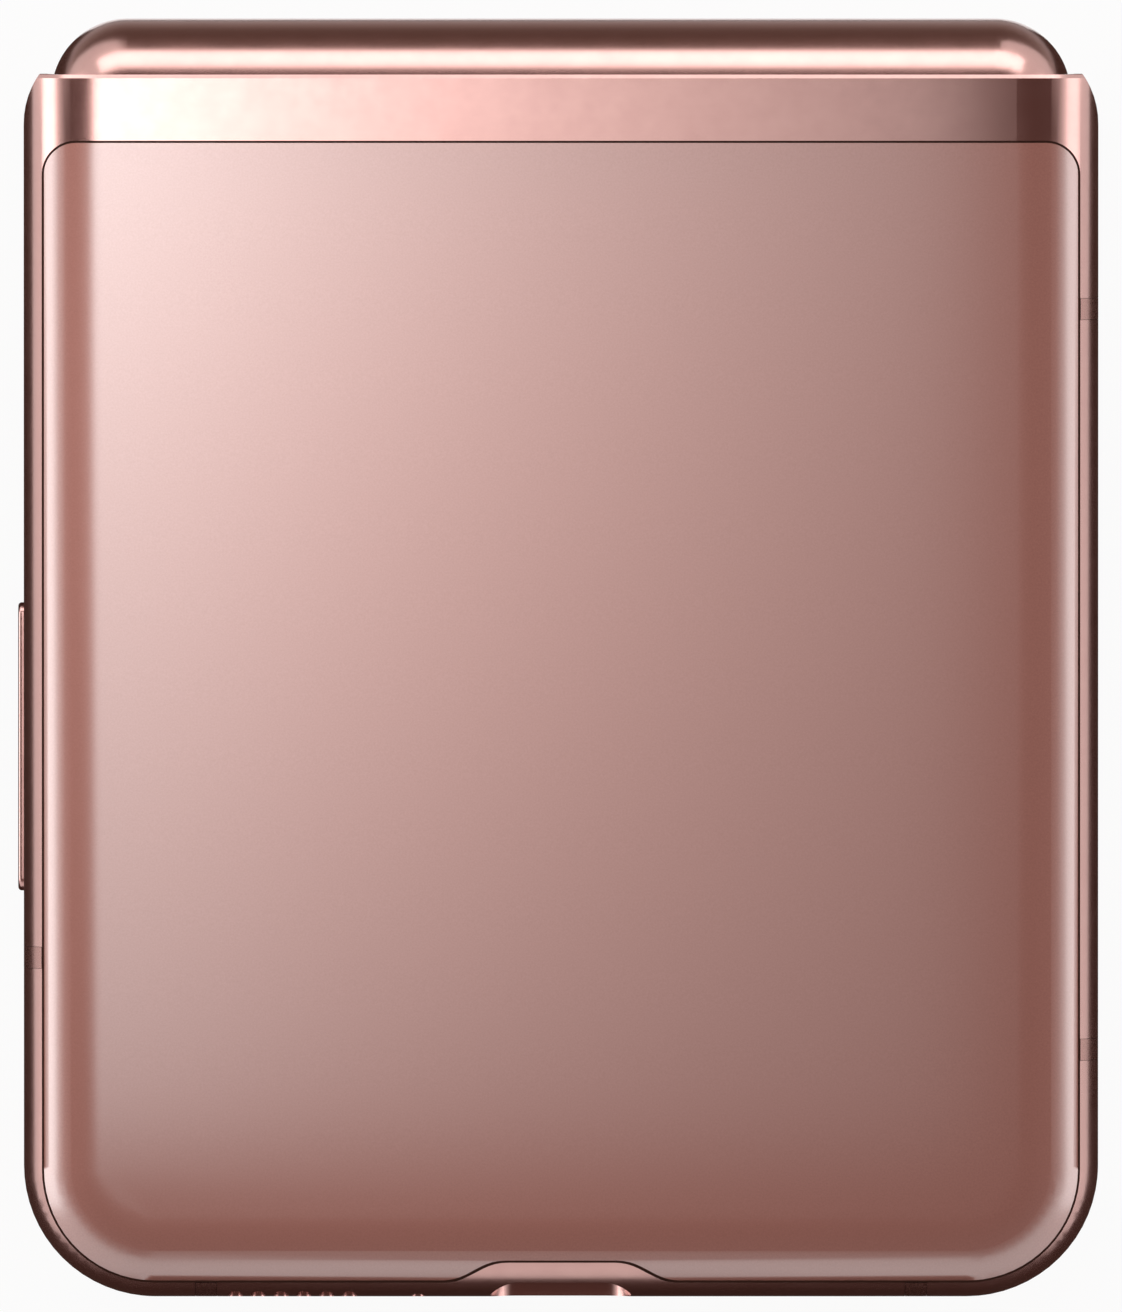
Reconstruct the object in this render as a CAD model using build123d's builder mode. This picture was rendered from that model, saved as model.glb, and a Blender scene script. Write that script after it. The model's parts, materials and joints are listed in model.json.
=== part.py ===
"""A clamshell phone that folds across its middle, shut, lying on its camera side.

Two shallow metal tubs hang on a half-round spine. Each tub turns a little under a quarter turn about
its own axis, on toothed arc arms that run in the spine's brackets, and a pinion and an idler for each
tub keep the two in step. A flexible screen lines both tubs and bends round inside the spine.

Frame: +Z up, +Y towards the spine, +X to the right seen from above. The origin is the middle of the
phone's footprint. The tub with the cameras lies below and stays still, and the plain one is on top.
"""

import os
from math import asin, atan2, cos, degrees, pi, radians, sin, sqrt, tan

from build123d import *

os.makedirs("parts", exist_ok=True)

# ---------------------------------------------------------------- driving dimensions, millimetres
phone_width = 73.6
half_length = 83.75  # one half, from its hinge end to its far end
half_depth = 6.7  # screen surface to back
rim_height = 0.6  # the rim and bezel stand this far above the screen
axis_spacing = 3.9  # between the two hinge axes, and between the two screens at the hinge
closing_wedge = 1.32  # degrees between the two screens when shut
end_gap = 0.1  # each half stops this short of the middle of the open phone
spine_overhang = 3.8  # spine beyond the halves' hinge ends when shut
spine_clearance = 0.25  # between the spine and the halves

# outline of a half
far_corner_radius = 9.0
hinge_corner_radius = 6.0
hinge_corner_run = 3.45  # of that corner's arc, before the hinge end cuts it off
side_round = 4.5  # the long rounding starts tight at the side
ease_round = 8.5  # and runs out wider on to the back
ease_angle = 16.0
ease_flat = 0.05  # between the two
rim_round = 0.5
edge_break = 0.25  # along the back, round the end face by the spine
edge_drop = 0.12

# frame
lip_width = 0.9  # metal outside the bezel
ledge_width = 3.2  # side wall and glass ledge, outside the main cavity
cavity_corner_radius = 6.0
floor_top = 0.6  # depth at which the screen's back plate rests
floor_bottom = 1.3
hinge_block_end = 10.9  # solid metal between the spine's cavity and the main cavity
cavity_stop = 0.5

# glass
glass_thickness = 0.6
glass_bond = 0.05
glass_seam = 0.15
glass_side_inset = 1.42
glass_far_inset = 1.2
glass_band = 4.67  # metal band between the hinge end and the glass
glass_corner_radius = 2.2
notch_top_width = 7.6  # the glass makes way for the charging socket
notch_foot_width = 16.4
notch_height = 1.4

# screen
panel_thickness = 0.3
panel_inset = 1.1
plate_inset = 1.4
bezel_gap = 0.05
bezel_width = 2.4
wing_depth = 0.85
wing_end = 9.6
wing_start = 0.35
wing_side = 3.2  # wing plates, from the phone's side
fold_edge = 1.0  # where the rigid part of the screen starts, from the hinge axis
fold_side = 2.9  # the bend, from the phone's side
fold_gap = 0.05
fold_reach = 0.7  # deepest point of the bend inside the spine
fit = 0.05  # clearance round pieces that are set in or slide

# spine
spine_side = 1.87  # from the phone's side
spine_wall = 0.8
spine_end_round = 5.24
spine_edge = 1.05  # the shell's open edge, from the plane of the hinge axes
arm_notch_depth = 1.6

# hinge modules, one on each side; stations along X from the middle of the phone
module = 0.2  # of the gear teeth
sector_teeth = 30
pinion_teeth = 8
idler_teeth = 14
addendum = 0.8 * module
dedendum = 1.15 * module
tooth_root_width = 1.75 * module
tooth_pitch_width = 1.4 * module
tooth_tip_width = 0.65 * module
tooth_foot = 0.05  # each tooth runs this far into its wheel
axle_seat = 0.3  # of the idlers' axles in the cheeks
support_top = 0.8  # plate behind the bend, from the plane of the hinge axes
support_side = 1.93  # from the spine's end
support_margin = 0.15
support_slot_end = 1.4
pinion_angle = 25.0  # pinion's bearing from its hinge axis, off the spine's depth
arm_inner_radius = 2.2
arc_back_angle = 76.0  # the toothed arc, each side of the tub's depth
arc_front_angle = 62.0
idler_line_angle = 90.0  # between the two idlers' centres, off the spine's depth
bar_start = 1.95
arm_top = 0.9
arm_bottom = 1.4
arm_end = 9.4
bracket_inset = 23.93  # the bracket's inner end, from the spine's end
cheek = 0.5
arm_width = 2.0
slot_side = 0.05  # between a moving piece and the cheek beside it
gear_width = 1.6
outer_cheek = 0.95
bracket_radius = 4.72
bracket_face = 1.2  # bracket's inner face, from the plane of the hinge axes
shaft_radius = 0.3
bore_clearance = 0.03
spring_radius = 0.85
spring_pairs = 6
disc_thickness = 0.25
disc_dish = 0.3
spring_gap = 0.8  # from the bracket
spring_length = 8.6
retainer_gap = 0.3  # from the springs
retainer_thickness = 1.0

# keys and tray, on the camera half; positions along it run from its hinge axis
volume_length = 19.8
volume_middle = 44.3
power_length = 10.5
power_middle = 23.5
key_height = 2.0
key_depth_middle = 2.9
volume_proud = 0.48
power_proud = 0.05
key_root = 1.25
key_flange = 0.7
tray_length = 13.6
tray_middle = 28.0
tray_height = 1.5
tray_reach = 15.0
tray_depth_middle = 2.9
key_travel = 0.25
switch_strip = 0.25
switch_length = 4.0
carrier_height = 0.9
carrier_width = 11.6
carrier_rail = 1.5
carrier_lap = 1.0  # of the carrier and the tray's head
carrier_round = 0.9
reader_height = 2.6
reader_margin = 1.5  # behind the tray
reader_side = 0.5
mouth_margin = 0.5

# back of the camera half
lens_radius = 4.6
ring_radius = 5.4
lens_row = 12.4  # from the far end
lens_side = 11.2  # the first lens, from the phone's side
lens_pitch = 12.4
flash_radius = 1.6
flash_pitch = 8.0
window_gap = 7.4  # from the flash's middle
window_side = 8.2  # from the phone's side
window_width = 10.2
window_round = 1.2
ring_height = 1.25
ring_flange = 0.6
ring_flange_radius = 6.0
window_depth = 0.1  # camera windows below the rings
lens_window = 0.5
barrel_radius = 3.6
camera_size = 9.0
camera_height = 3.2
aperture_radius = 2.2
aperture_depth = 1.4
lens_height = 0.5
cover_screen_thickness = 0.85
front_camera_row = 6.2  # from the far end
slot_row = 1.75  # sound slot in the bezel, from the far end
slot_length = 9.0
slot_height = 0.5
receiver_x = 10.0
receiver_length = 12.0
receiver_width = 4.0

# charging end of the plain half
socket_width = 8.94
socket_height = 3.26
socket_length = 7.4
socket_wall = 0.3
socket_depth = 2.95
socket_recess = 1.2
tongue_recess = 1.2
tongue_width = 6.7
tongue_height = 0.7
speaker_count = 6
speaker_pitch = 1.56
speaker_gap = 3.63  # beside the socket
speaker_slot_radius = 0.5
speaker_slot_height = 1.9
speaker_depth = 2.95
speaker_length = 20.0
speaker_width = 9.0
speaker_height = 3.6
mic_gap = 4.7  # from the first speaker slot
mic_radius = 0.45

# antenna breaks
strip_width = 1.5
strip_side_near = 14.2
strip_far_row = 17.0  # from the far end
strip_single_row = 23.3
strip_end_gap = 2.0  # from the last speaker slot's middle

# cells, boards and small modules; depths from the screen's surface
cell_start = 1.4
cell_end = 5.3
cell_round = 0.8
cell_end_gap = 2.1  # from the hinge block
lower_cell_side_gap = 2.6
lower_cell_board_gap = 2.5
upper_cell_key_gap = 8.6
upper_cell_reader_gap = 1.3
upper_cell_board_gap = 2.0
board_start = 2.6
board_thickness = 0.7
board_side_gap = 3.6
board_round = 2.0
main_board_length = 28.0
main_board_end_gap = 1.7
camera_room = 0.2
can_height = 1.3
can_length = 11.0
can_margin = 2.5
can_gap = 2.5
can_inset = 1.5
can_round = 1.0
window_can_inset = 1.2
window_can_margin = 0.6
charge_board_length = 13.5
charge_board_end_gap = 2.7
charge_board_speaker_gap = 0.4
socket_room = 0.5
coil_backing = 0.15
motor_inset = 10.0
coil_inner = 9.0
coil_turns = 8
coil_pitch = 1.1
coil_wire = 0.35
motor_radius = 4.0
motor_height = 2.2
bumper_radius = 1.2
bumper_height = 0.35
bumper_row = 12.0  # from the far end
front_camera_radius = 1.7
screw_radius = 0.35
screw_place = 7.8
screw_length = 2.6

# ---------------------------------------------------------------- derived places
axis_to_end = axis_spacing / 2 - end_gap
spine_radius = axis_to_end + spine_overhang
cavity_radius = spine_radius + spine_clearance
far_end = half_length - axis_to_end
half_width = phone_width / 2
spine_half_length = half_width - spine_side
wing_half_width = half_width - wing_side
fold_half_width = half_width - fold_side
support_half_width = spine_half_length - support_side
shell_length = socket_width + 2 * socket_wall
slot_span = (speaker_count - 1) * speaker_pitch
speaker_middle = shell_length / 2 + speaker_gap + speaker_length / 2
end_strip_x = speaker_middle + slot_span / 2 + strip_end_gap
total_length = half_length + spine_overhang
axis_y = total_length / 2 - spine_radius
axis_height = axis_spacing / 2
wedge = radians(closing_wedge)
middle_y = axis_y - axis_height * sin(wedge / 2)
middle_z = half_depth + axis_height * cos(wedge / 2)
top_axis_y = axis_y - axis_spacing * sin(wedge / 2)
top_axis_z = half_depth + axis_spacing * cos(wedge / 2)

# Each half has its own plane: the origin on its hinge axis at the screen's surface, x across the
# phone, y towards the far end and z from the screen to the back.
upper = Plane(origin=(0, axis_y, half_depth), x_dir=(1, 0, 0), z_dir=(0, 0, -1))
lower = Plane(
    origin=(0, top_axis_y, top_axis_z), x_dir=(-1, 0, 0), z_dir=(0, -sin(wedge), cos(wedge))
)
# The spine's plane is its cross-section: x is its depth, outwards, and y runs from the camera
# half's axis to the plain half's.
spine = Plane(
    origin=(0, middle_y, middle_z), x_dir=(0, cos(wedge / 2), sin(wedge / 2)), z_dir=(1, 0, 0)
)
# The cross-section of a half, drawn about its own hinge axis.
section = Plane(origin=(0, 0, 0), x_dir=(0, 1, 0), z_dir=(1, 0, 0))
# The spine's plane as a half sees it when the phone is open.
open_section = Plane(origin=(0, -axis_height, 0), x_dir=(0, 0, 1), z_dir=(1, 0, 0))

sector_radius = sector_teeth * module / 2
pinion_radius = pinion_teeth * module / 2
idler_radius = idler_teeth * module / 2
pinion_x = (sector_radius + pinion_radius) * cos(radians(pinion_angle))
pinion_y = axis_height + (sector_radius + pinion_radius) * sin(radians(pinion_angle))
idler_y = idler_radius
idler_x = pinion_x - sqrt((pinion_radius + idler_radius) ** 2 - (pinion_y - idler_y) ** 2)

bracket_start = spine_half_length - bracket_inset
station_upper = bracket_start + outer_cheek + slot_side  # the camera half's arm
station_gears = station_upper + arm_width + cheek + 2 * slot_side
station_lower = station_gears + gear_width + cheek + 2 * slot_side  # the plain half's arm
bracket_end = station_lower + arm_width + slot_side + outer_cheek
spring_start = bracket_end + spring_gap
retainer_start = spring_start + spring_length + retainer_gap
retainer_end = retainer_start + retainer_thickness


# ---------------------------------------------------------------- outlines of a half, in plan
def half_outline(inset=0.0):
    """A half in plan, the same distance inside its edge on three sides; not at the hinge end."""
    side = half_width - inset
    far = far_end - inset
    corner = far_corner_radius - inset
    arc = hinge_corner_radius - inset
    arc_x = half_width - hinge_corner_radius
    arc_y = hinge_corner_run - axis_to_end
    arc_start = degrees(asin(hinge_corner_run / arc))
    end_x = arc_x + sqrt(arc**2 - hinge_corner_run**2)
    with BuildSketch() as outline:
        with BuildLine():
            Line((0, -axis_to_end), (end_x, -axis_to_end))
            CenterArc((arc_x, arc_y), arc, -arc_start, arc_start)
            Line((side, arc_y), (side, far - corner))
            CenterArc((side - corner, far - corner), corner, 0, 90)
            Line((side - corner, far), (0, far))
            mirror(about=Plane.YZ)
        make_face()
    return outline.sketch


def glass_outline(grow=0.0, notched=False):
    """The glass in plan. The notch at the far end makes way for the charging socket."""
    side = half_width - glass_side_inset + grow
    near = glass_band - axis_to_end - grow
    far = far_end - glass_far_inset + grow
    corner = far_corner_radius - glass_side_inset + grow
    small = glass_corner_radius + grow
    with BuildSketch() as outline:
        with BuildLine():
            Line((0, near), (side - small, near))
            CenterArc((side - small, near + small), small, -90, 90)
            Line((side, near + small), (side, far - corner))
            CenterArc((side - corner, far - corner), corner, 0, 90)
            if notched:
                foot = notch_foot_width / 2 - grow
                top = notch_top_width / 2 - grow
                Line((side - corner, far), (foot, far))
                Spline((foot, far), (top, far - notch_height), tangents=[(-1, 0), (-1, 0)])
                Line((top, far - notch_height), (0, far - notch_height))
            else:
                Line((side - corner, far), (0, far))
            mirror(about=Plane.YZ)
        make_face()
    return outline.sketch


def pillow(inset=0.0):
    """The solid outer form of a half, or the same form a set distance further in.

    The long rounding runs straight out at the hinge end, where the corners are cut afterwards.
    """
    side = half_width - inset
    far = far_end - inset
    with BuildPart() as body:
        with BuildSketch(Plane.XY.offset(-rim_height)):
            with Locations((0, (far - axis_to_end) / 2)):
                Rectangle(2 * side, far + axis_to_end)
        extrude(amount=rim_height + half_depth - inset)
        far_corners = body.edges().filter_by(Axis.Z).group_by(Axis.Y)[-1]
        fillet(far_corners, far_corner_radius - inset)
        tilt = radians(ease_angle)
        ease_tangent = (ease_round - inset) * tan(tilt / 2)
        side_tangent = (side_round - inset) * tan((pi / 2 - tilt) / 2)
        slope = ease_tangent + ease_flat + side_tangent
        back = body.faces().sort_by(Axis.Z)[-1]
        chamfer(back.edges().sort_by(Axis.Y)[1:], slope * cos(tilt), slope * sin(tilt), reference=back)
        slope_foot = half_depth - inset - slope * sin(tilt)
        side_edges = body.edges().filter_by_position(Axis.Z, slope_foot - fit, slope_foot + fit)
        fillet(side_edges, side_round - inset)
        back_edges = body.faces().sort_by(Axis.Z)[-1].edges().sort_by(Axis.Y)
        fillet(back_edges[1:], ease_round - inset)
        if inset == 0:
            rim_edges = body.faces().sort_by(Axis.Z)[0].edges().sort_by(Axis.Y)
            fillet(rim_edges[1:], rim_round)
            back = body.faces().sort_by(Axis.Z)[-1]
            chamfer(back.edges().sort_by(Axis.Y)[0], edge_break, edge_drop, reference=back)
        with BuildSketch(Plane.XY.offset(-rim_height)):
            add(half_outline(inset))
        extrude(amount=rim_height + half_depth, mode=Mode.INTERSECT)
    return body.part


half_form = pillow()
bonding_form = pillow(glass_thickness + glass_bond)


# ---------------------------------------------------------------- cutters, on a half's own plane
def side_bar(side, middle, length, height, middle_depth, start, end):
    """A round-ended bar through a side wall; side is 1 or -1, start and end are across."""
    face = Plane(origin=(side * start, middle, middle_depth), x_dir=(0, 1, 0), z_dir=(side, 0, 0))
    with BuildPart() as bar:
        with BuildSketch(face):
            SlotOverall(length, height)
        extrude(amount=end - start)
    return bar.part


def end_bar(across, length, height, middle_depth, start, end):
    """A round-ended bar through the far end's wall; start and end run towards the far end."""
    face = Plane(origin=(across, start, middle_depth), x_dir=(1, 0, 0), z_dir=(0, 1, 0))
    with BuildPart() as bar:
        with BuildSketch(face):
            SlotOverall(length, height)
        extrude(amount=end - start)
    return bar.part


def key_cut(length, middle):
    """The hole of a key through the side wall and the wider pocket behind it."""
    inner = half_width - ledge_width - cavity_stop
    root = half_width - key_root
    hole = side_bar(
        -1, middle, length + 2 * fit, key_height + 2 * fit, key_depth_middle, root, half_width + 1
    )
    pocket = side_bar(
        -1,
        middle,
        length + 2 * key_flange + 2 * fit,
        key_height + key_flange + 2 * fit,
        key_depth_middle,
        inner,
        root,
    )
    return hole + pocket


def break_blocks(grow):
    """Blocks where the antenna breaks cross the frame's outside."""
    side_depth = glass_side_inset - glass_seam
    end_depth = glass_far_inset - glass_seam
    reach = side_depth + cavity_stop
    end_reach = end_depth + cavity_stop
    side_x = half_width - side_depth + reach / 2
    end_y = far_end - end_depth + end_reach / 2
    single_y = far_end - strip_single_row
    far_y = far_end - strip_far_row
    side_places = ((side_x, single_y), (-side_x, strip_side_near), (-side_x, far_y))
    with BuildPart() as blocks:
        with BuildSketch(Plane.XY.offset(-rim_height - grow)):
            with Locations(*side_places):
                Rectangle(reach + 2 * grow, strip_width + 2 * grow)
            with Locations((end_strip_x, end_y), (-end_strip_x, end_y)):
                Rectangle(strip_width + 2 * grow, end_reach + 2 * grow)
        extrude(amount=rim_height + half_depth + 2 * grow)
    return blocks.part


def spine_form(inset, plane):
    """The half-round body of the spine on its own plane, or the same form a set distance further in."""
    radius = spine_radius - inset
    reach = spine_half_length - inset
    with BuildPart() as body:
        with BuildSketch(plane.offset(-reach)):
            SlotCenterToCenter(axis_spacing, 2 * radius, rotation=90)
            with Locations((-radius, 0)):
                Rectangle(2 * radius, 4 * radius, mode=Mode.SUBTRACT)
        extrude(amount=2 * reach)
        ends = body.faces().filter_by(Axis.X).edges()
        floor_edges = ends.filter_by(GeomType.LINE).sort_by(Axis(plane.origin, plane.x_dir))[:2]
        fillet([edge for edge in ends if edge not in floor_edges], spine_end_round - inset)
    return body.part


def frame(notched, arm_station):
    """The metal tub of a half: rim, walls, floor under the screen and block by the spine."""
    with BuildPart() as under_glass:
        with BuildSketch(Plane.XY.offset(-rim_height)):
            add(glass_outline(glass_seam, notched))
        extrude(amount=2 * half_depth)
        add(bonding_form, mode=Mode.INTERSECT)
    arm_x = arm_station + arm_width / 2
    with BuildPart() as tub:
        add(half_form)
        with BuildSketch(Plane.XY.offset(floor_bottom)):
            add(glass_outline(glass_seam, notched))
        extrude(amount=half_depth, mode=Mode.SUBTRACT)
        add(under_glass.part)
        # main cavity, open at the back
        cavity_length = far_end - ledge_width - hinge_block_end
        with BuildSketch(Plane.XY.offset(floor_bottom)):
            with Locations((0, hinge_block_end + cavity_length / 2)):
                RectangleRounded(phone_width - 2 * ledge_width, cavity_length, cavity_corner_radius)
        extrude(amount=half_depth, mode=Mode.SUBTRACT)
        # room for the spine to turn in
        add(spine_form(-spine_clearance, open_section), mode=Mode.SUBTRACT)
        with BuildSketch(section.offset(-spine_half_length - spine_clearance)):
            with Locations((0, -half_depth / 2)):
                Rectangle(2 * cavity_radius, half_depth)
        extrude(amount=2 * (spine_half_length + spine_clearance), mode=Mode.SUBTRACT)
        # seat of the screen and its bezel
        with BuildSketch(Plane.XY.offset(-rim_height)):
            add(half_outline(lip_width))
        extrude(amount=rim_height + floor_top, mode=Mode.SUBTRACT)
        # shelf for the wing plate, and pockets for the arms under it with their screw holes
        with BuildSketch(Plane.XY.offset(floor_top)):
            with Locations((0, wing_end / 2)):
                Rectangle(2 * wing_half_width + 2 * fit, wing_end + 2 * fit)
        extrude(amount=wing_depth - floor_top, mode=Mode.SUBTRACT)
        with BuildSketch(Plane.XY.offset(floor_top)):
            with Locations((arm_x, arm_end / 2), (-arm_x, arm_end / 2)):
                Rectangle(arm_width + 4 * fit, arm_end + 2 * fit)
        extrude(amount=arm_bottom + fit - floor_top, mode=Mode.SUBTRACT)
        with BuildSketch(Plane.XY.offset(arm_top)):
            with Locations((arm_x, screw_place), (-arm_x, screw_place)):
                Circle(screw_radius + bore_clearance)
        extrude(amount=screw_length + fit, mode=Mode.SUBTRACT)
        add(break_blocks(0), mode=Mode.SUBTRACT)
    return tub.part


def pane(notched):
    with BuildPart() as sheet:
        with BuildSketch(Plane.XY.offset(floor_bottom)):
            add(glass_outline(0, notched))
        extrude(amount=half_depth)
        add(half_form, mode=Mode.INTERSECT)
        add(pillow(glass_thickness), mode=Mode.SUBTRACT)
    return sheet.part


def breaks(notched):
    """The plastic strips that part the frame's outside, let into its blocks."""
    with BuildPart() as strips:
        add(half_form)
        add(break_blocks(-fit / 2), mode=Mode.INTERSECT)
        with BuildSketch(Plane.XY.offset(floor_bottom)):
            add(glass_outline(glass_seam, notched))
        extrude(amount=half_depth, mode=Mode.SUBTRACT)
        with BuildSketch(Plane.XY.offset(-rim_height)):
            add(half_outline(lip_width))
        extrude(amount=rim_height + floor_top, mode=Mode.SUBTRACT)
    return strips.part


def bezel():
    """The soft trim round the screen, with a narrow tail past the hinge axis on each side."""
    outer = lip_width + bezel_gap
    inner_width = phone_width - 2 * (outer + bezel_width)
    between_tails = 2 * (spine_half_length + spine_clearance)
    far = far_end - outer - bezel_width
    with BuildPart() as trim:
        with BuildSketch(Plane.XY.offset(-rim_height)):
            add(half_outline(outer))
            with Locations((0, (far - half_length) / 2)):
                Rectangle(inner_width, far + half_length, mode=Mode.SUBTRACT)
            with Locations((0, (fold_edge - half_length) / 2)):
                Rectangle(between_tails, fold_edge + half_length, mode=Mode.SUBTRACT)
        extrude(amount=rim_height)
        inner_corners = trim.edges().filter_by(Axis.Z).filter_by_position(Axis.Y, far - fit, far + fit)
        fillet(inner_corners, far_corner_radius - outer - bezel_width)
    return trim.part


def panel():
    """The stiff stretch of the screen: a cover sheet and the metal plate bonded behind it."""
    with BuildPart() as sheet:
        with BuildSketch():
            add(half_outline(panel_inset))
            with Locations((0, fold_edge - half_length / 2)):
                Rectangle(phone_width, half_length, mode=Mode.SUBTRACT)
        extrude(amount=panel_thickness)
        with BuildSketch(Plane.XY.offset(panel_thickness)):
            add(half_outline(plate_inset))
            with Locations((0, fold_edge - half_length / 2)):
                Rectangle(phone_width, half_length, mode=Mode.SUBTRACT)
        extrude(amount=floor_top - panel_thickness)
    return sheet.part


def wing():
    """The thin plate that carries the screen from the tub's block to the bend."""
    with BuildPart() as plate:
        with BuildSketch(Plane.XY.offset(floor_top)):
            with Locations((0, (wing_start + wing_end) / 2)):
                Rectangle(2 * wing_half_width, wing_end - wing_start)
        extrude(amount=wing_depth - floor_top)
    return plate.part


def bumpers():
    """Soft feet that keep the two bezels apart."""
    foot_x = half_width - lip_width - bezel_gap - bezel_width / 2
    with BuildPart() as feet:
        with BuildSketch(Plane.XY.offset(-rim_height)):
            with Locations((foot_x, far_end - bumper_row), (-foot_x, far_end - bumper_row)):
                Circle(bumper_radius)
        extrude(amount=-bumper_height)
    return feet.part


def arm_screws(arm_station):
    arm_x = arm_station + arm_width / 2
    with BuildPart() as screws:
        with BuildSketch(Plane.XY.offset(arm_top)):
            with Locations((arm_x, screw_place), (-arm_x, screw_place)):
                Circle(screw_radius)
        extrude(amount=screw_length)
    return screws.part


# ---------------------------------------------------------------- gears
def tooth_angles(teeth, phase):
    return [phase + 360 * index / teeth for index in range(teeth)]


def meshed(phase, teeth, bearing, next_teeth):
    """Where one tooth of the next gear points, so that its gaps take this gear's teeth.

    phase is where one tooth of this gear points, and bearing the way to the next gear's centre.
    """
    past_line = (phase - bearing) % (360 / teeth)
    return bearing + 180 - past_line * teeth / next_teeth + 180 / next_teeth


def gear_face(pitch_radius, angles):
    """Teeth standing on a pitch circle at the given angles; the body's disc or ring is apart."""
    root = pitch_radius - dedendum - tooth_foot
    with BuildSketch() as teeth:
        for angle in angles:
            with Locations(Location((0, 0, 0), (0, 0, angle))):
                Polygon(
                    (root, -tooth_root_width / 2),
                    (pitch_radius, -tooth_pitch_width / 2),
                    (pitch_radius + addendum, -tooth_tip_width / 2),
                    (pitch_radius + addendum, tooth_tip_width / 2),
                    (pitch_radius, tooth_pitch_width / 2),
                    (root, tooth_root_width / 2),
                    align=None,
                )
    return teeth.sketch


pinion_to_idler = degrees(atan2(pinion_y - idler_y, idler_x - pinion_x))
upper_sector_phase = -pinion_angle
upper_pinion_phase = meshed(upper_sector_phase, sector_teeth, -pinion_angle, pinion_teeth)
upper_idler_phase = meshed(upper_pinion_phase, pinion_teeth, pinion_to_idler, idler_teeth)
lower_idler_phase = meshed(upper_idler_phase, idler_teeth, idler_line_angle, idler_teeth)
lower_pinion_phase = meshed(lower_idler_phase, idler_teeth, 180 - pinion_to_idler, pinion_teeth)
lower_sector_phase = meshed(lower_pinion_phase, pinion_teeth, 180 + pinion_angle, sector_teeth)


def arms(arm_station, phase):
    """Two arms: each an arc of teeth about the hinge axis and a bar under the screen.

    phase is where one tooth points in the half's cross-section when the phone is shut.
    """
    start = 90 - arc_front_angle
    sweep = arc_front_angle + arc_back_angle
    root = sector_radius - dedendum
    half_pitch = 180 / sector_teeth
    angles = [
        angle
        for angle in tooth_angles(sector_teeth, phase)
        if start + half_pitch < angle % 360 < start + sweep - half_pitch
    ]
    with BuildPart() as pair:
        with BuildSketch(section.offset(arm_station)):
            with BuildLine():
                outer_arc = CenterArc((0, 0), root, start, sweep)
                inner_arc = CenterArc((0, 0), arm_inner_radius, start, sweep)
                Line(outer_arc @ 0, inner_arc @ 0)
                Line(outer_arc @ 1, inner_arc @ 1)
            make_face()
            add(gear_face(sector_radius, angles))
            with Locations(((bar_start + arm_end) / 2, (arm_top + arm_bottom) / 2)):
                Rectangle(arm_end - bar_start, arm_bottom - arm_top)
        extrude(amount=arm_width)
        with BuildSketch(Plane.XY.offset(arm_top)):
            with Locations((arm_station + arm_width / 2, screw_place)):
                Circle(screw_radius + bore_clearance)
        extrude(amount=arm_bottom - arm_top, mode=Mode.SUBTRACT)
        mirror(about=Plane.YZ)
    return pair.part


# ---------------------------------------------------------------- both halves: matching pieces
half_turn = closing_wedge / 2  # between a half and the spine when shut

with BuildPart() as upper_bezel:
    add(upper.location * bezel())
    with BuildSketch(upper.offset(-rim_height)):
        with Locations((0, far_end - slot_row)):
            SlotOverall(slot_length, slot_height)
    extrude(amount=rim_height, mode=Mode.SUBTRACT)

with BuildPart() as earpiece_mesh:
    with BuildSketch(upper.offset(fit - rim_height / 2)):
        with Locations((0, far_end - slot_row)):
            SlotOverall(slot_length - 2 * fit, slot_height - 2 * fit)
    extrude(amount=rim_height / 2 - fit)

with BuildPart() as lower_bezel:
    add(lower.location * bezel())

with BuildPart() as upper_panel:
    add(upper.location * panel())
    with BuildSketch(upper):
        with Locations((0, far_end - front_camera_row)):
            Circle(front_camera_radius + fit)
    extrude(amount=floor_top, mode=Mode.SUBTRACT)

with BuildPart() as lower_panel:
    add(lower.location * panel())

with BuildPart() as upper_wing:
    add(upper.location * wing())

with BuildPart() as lower_wing:
    add(lower.location * wing())

with BuildPart() as upper_breaks:
    add(upper.location * breaks(False))

with BuildPart() as lower_breaks:
    add(lower.location * breaks(True))

with BuildPart() as upper_bumpers:
    add(upper.location * bumpers())

with BuildPart() as lower_bumpers:
    add(lower.location * bumpers())

with BuildPart() as upper_arms:
    add(upper.location * arms(station_upper, upper_sector_phase - 180 + half_turn))

with BuildPart() as lower_arms:
    add(lower.location * arms(station_lower, 180 - lower_sector_phase + half_turn))

with BuildPart() as upper_arm_screws:
    add(upper.location * arm_screws(station_upper))

with BuildPart() as lower_arm_screws:
    add(lower.location * arm_screws(station_lower))

# ---------------------------------------------------------------- camera half: shell
tray_start = half_width - tray_reach
reader_start = tray_start - reader_margin

with BuildPart() as upper_frame:
    add(upper.location * frame(False, station_upper))
    add(upper.location * key_cut(volume_length, volume_middle), mode=Mode.SUBTRACT)
    add(upper.location * key_cut(power_length, power_middle), mode=Mode.SUBTRACT)
    tray_hole = side_bar(
        1, tray_middle, tray_length, tray_height, tray_depth_middle, tray_start, half_width + 1
    )
    add(upper.location * tray_hole, mode=Mode.SUBTRACT)
    with BuildSketch(upper.offset(floor_top)):
        with Locations((0, far_end - front_camera_row)):
            Circle(front_camera_radius + fit)
    extrude(amount=floor_bottom - floor_top, mode=Mode.SUBTRACT)

lens_y = far_end - lens_row
lens_first = lens_side - half_width
flash_x = lens_first + lens_pitch + flash_pitch
window_start = flash_x + window_gap
window_end = half_width - window_side
window_length = window_end - window_start
window_middle = (window_start + window_end) / 2
lens_places = ((lens_first, lens_y), (lens_first + lens_pitch, lens_y))
glass_bottom = half_depth - glass_thickness

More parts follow.
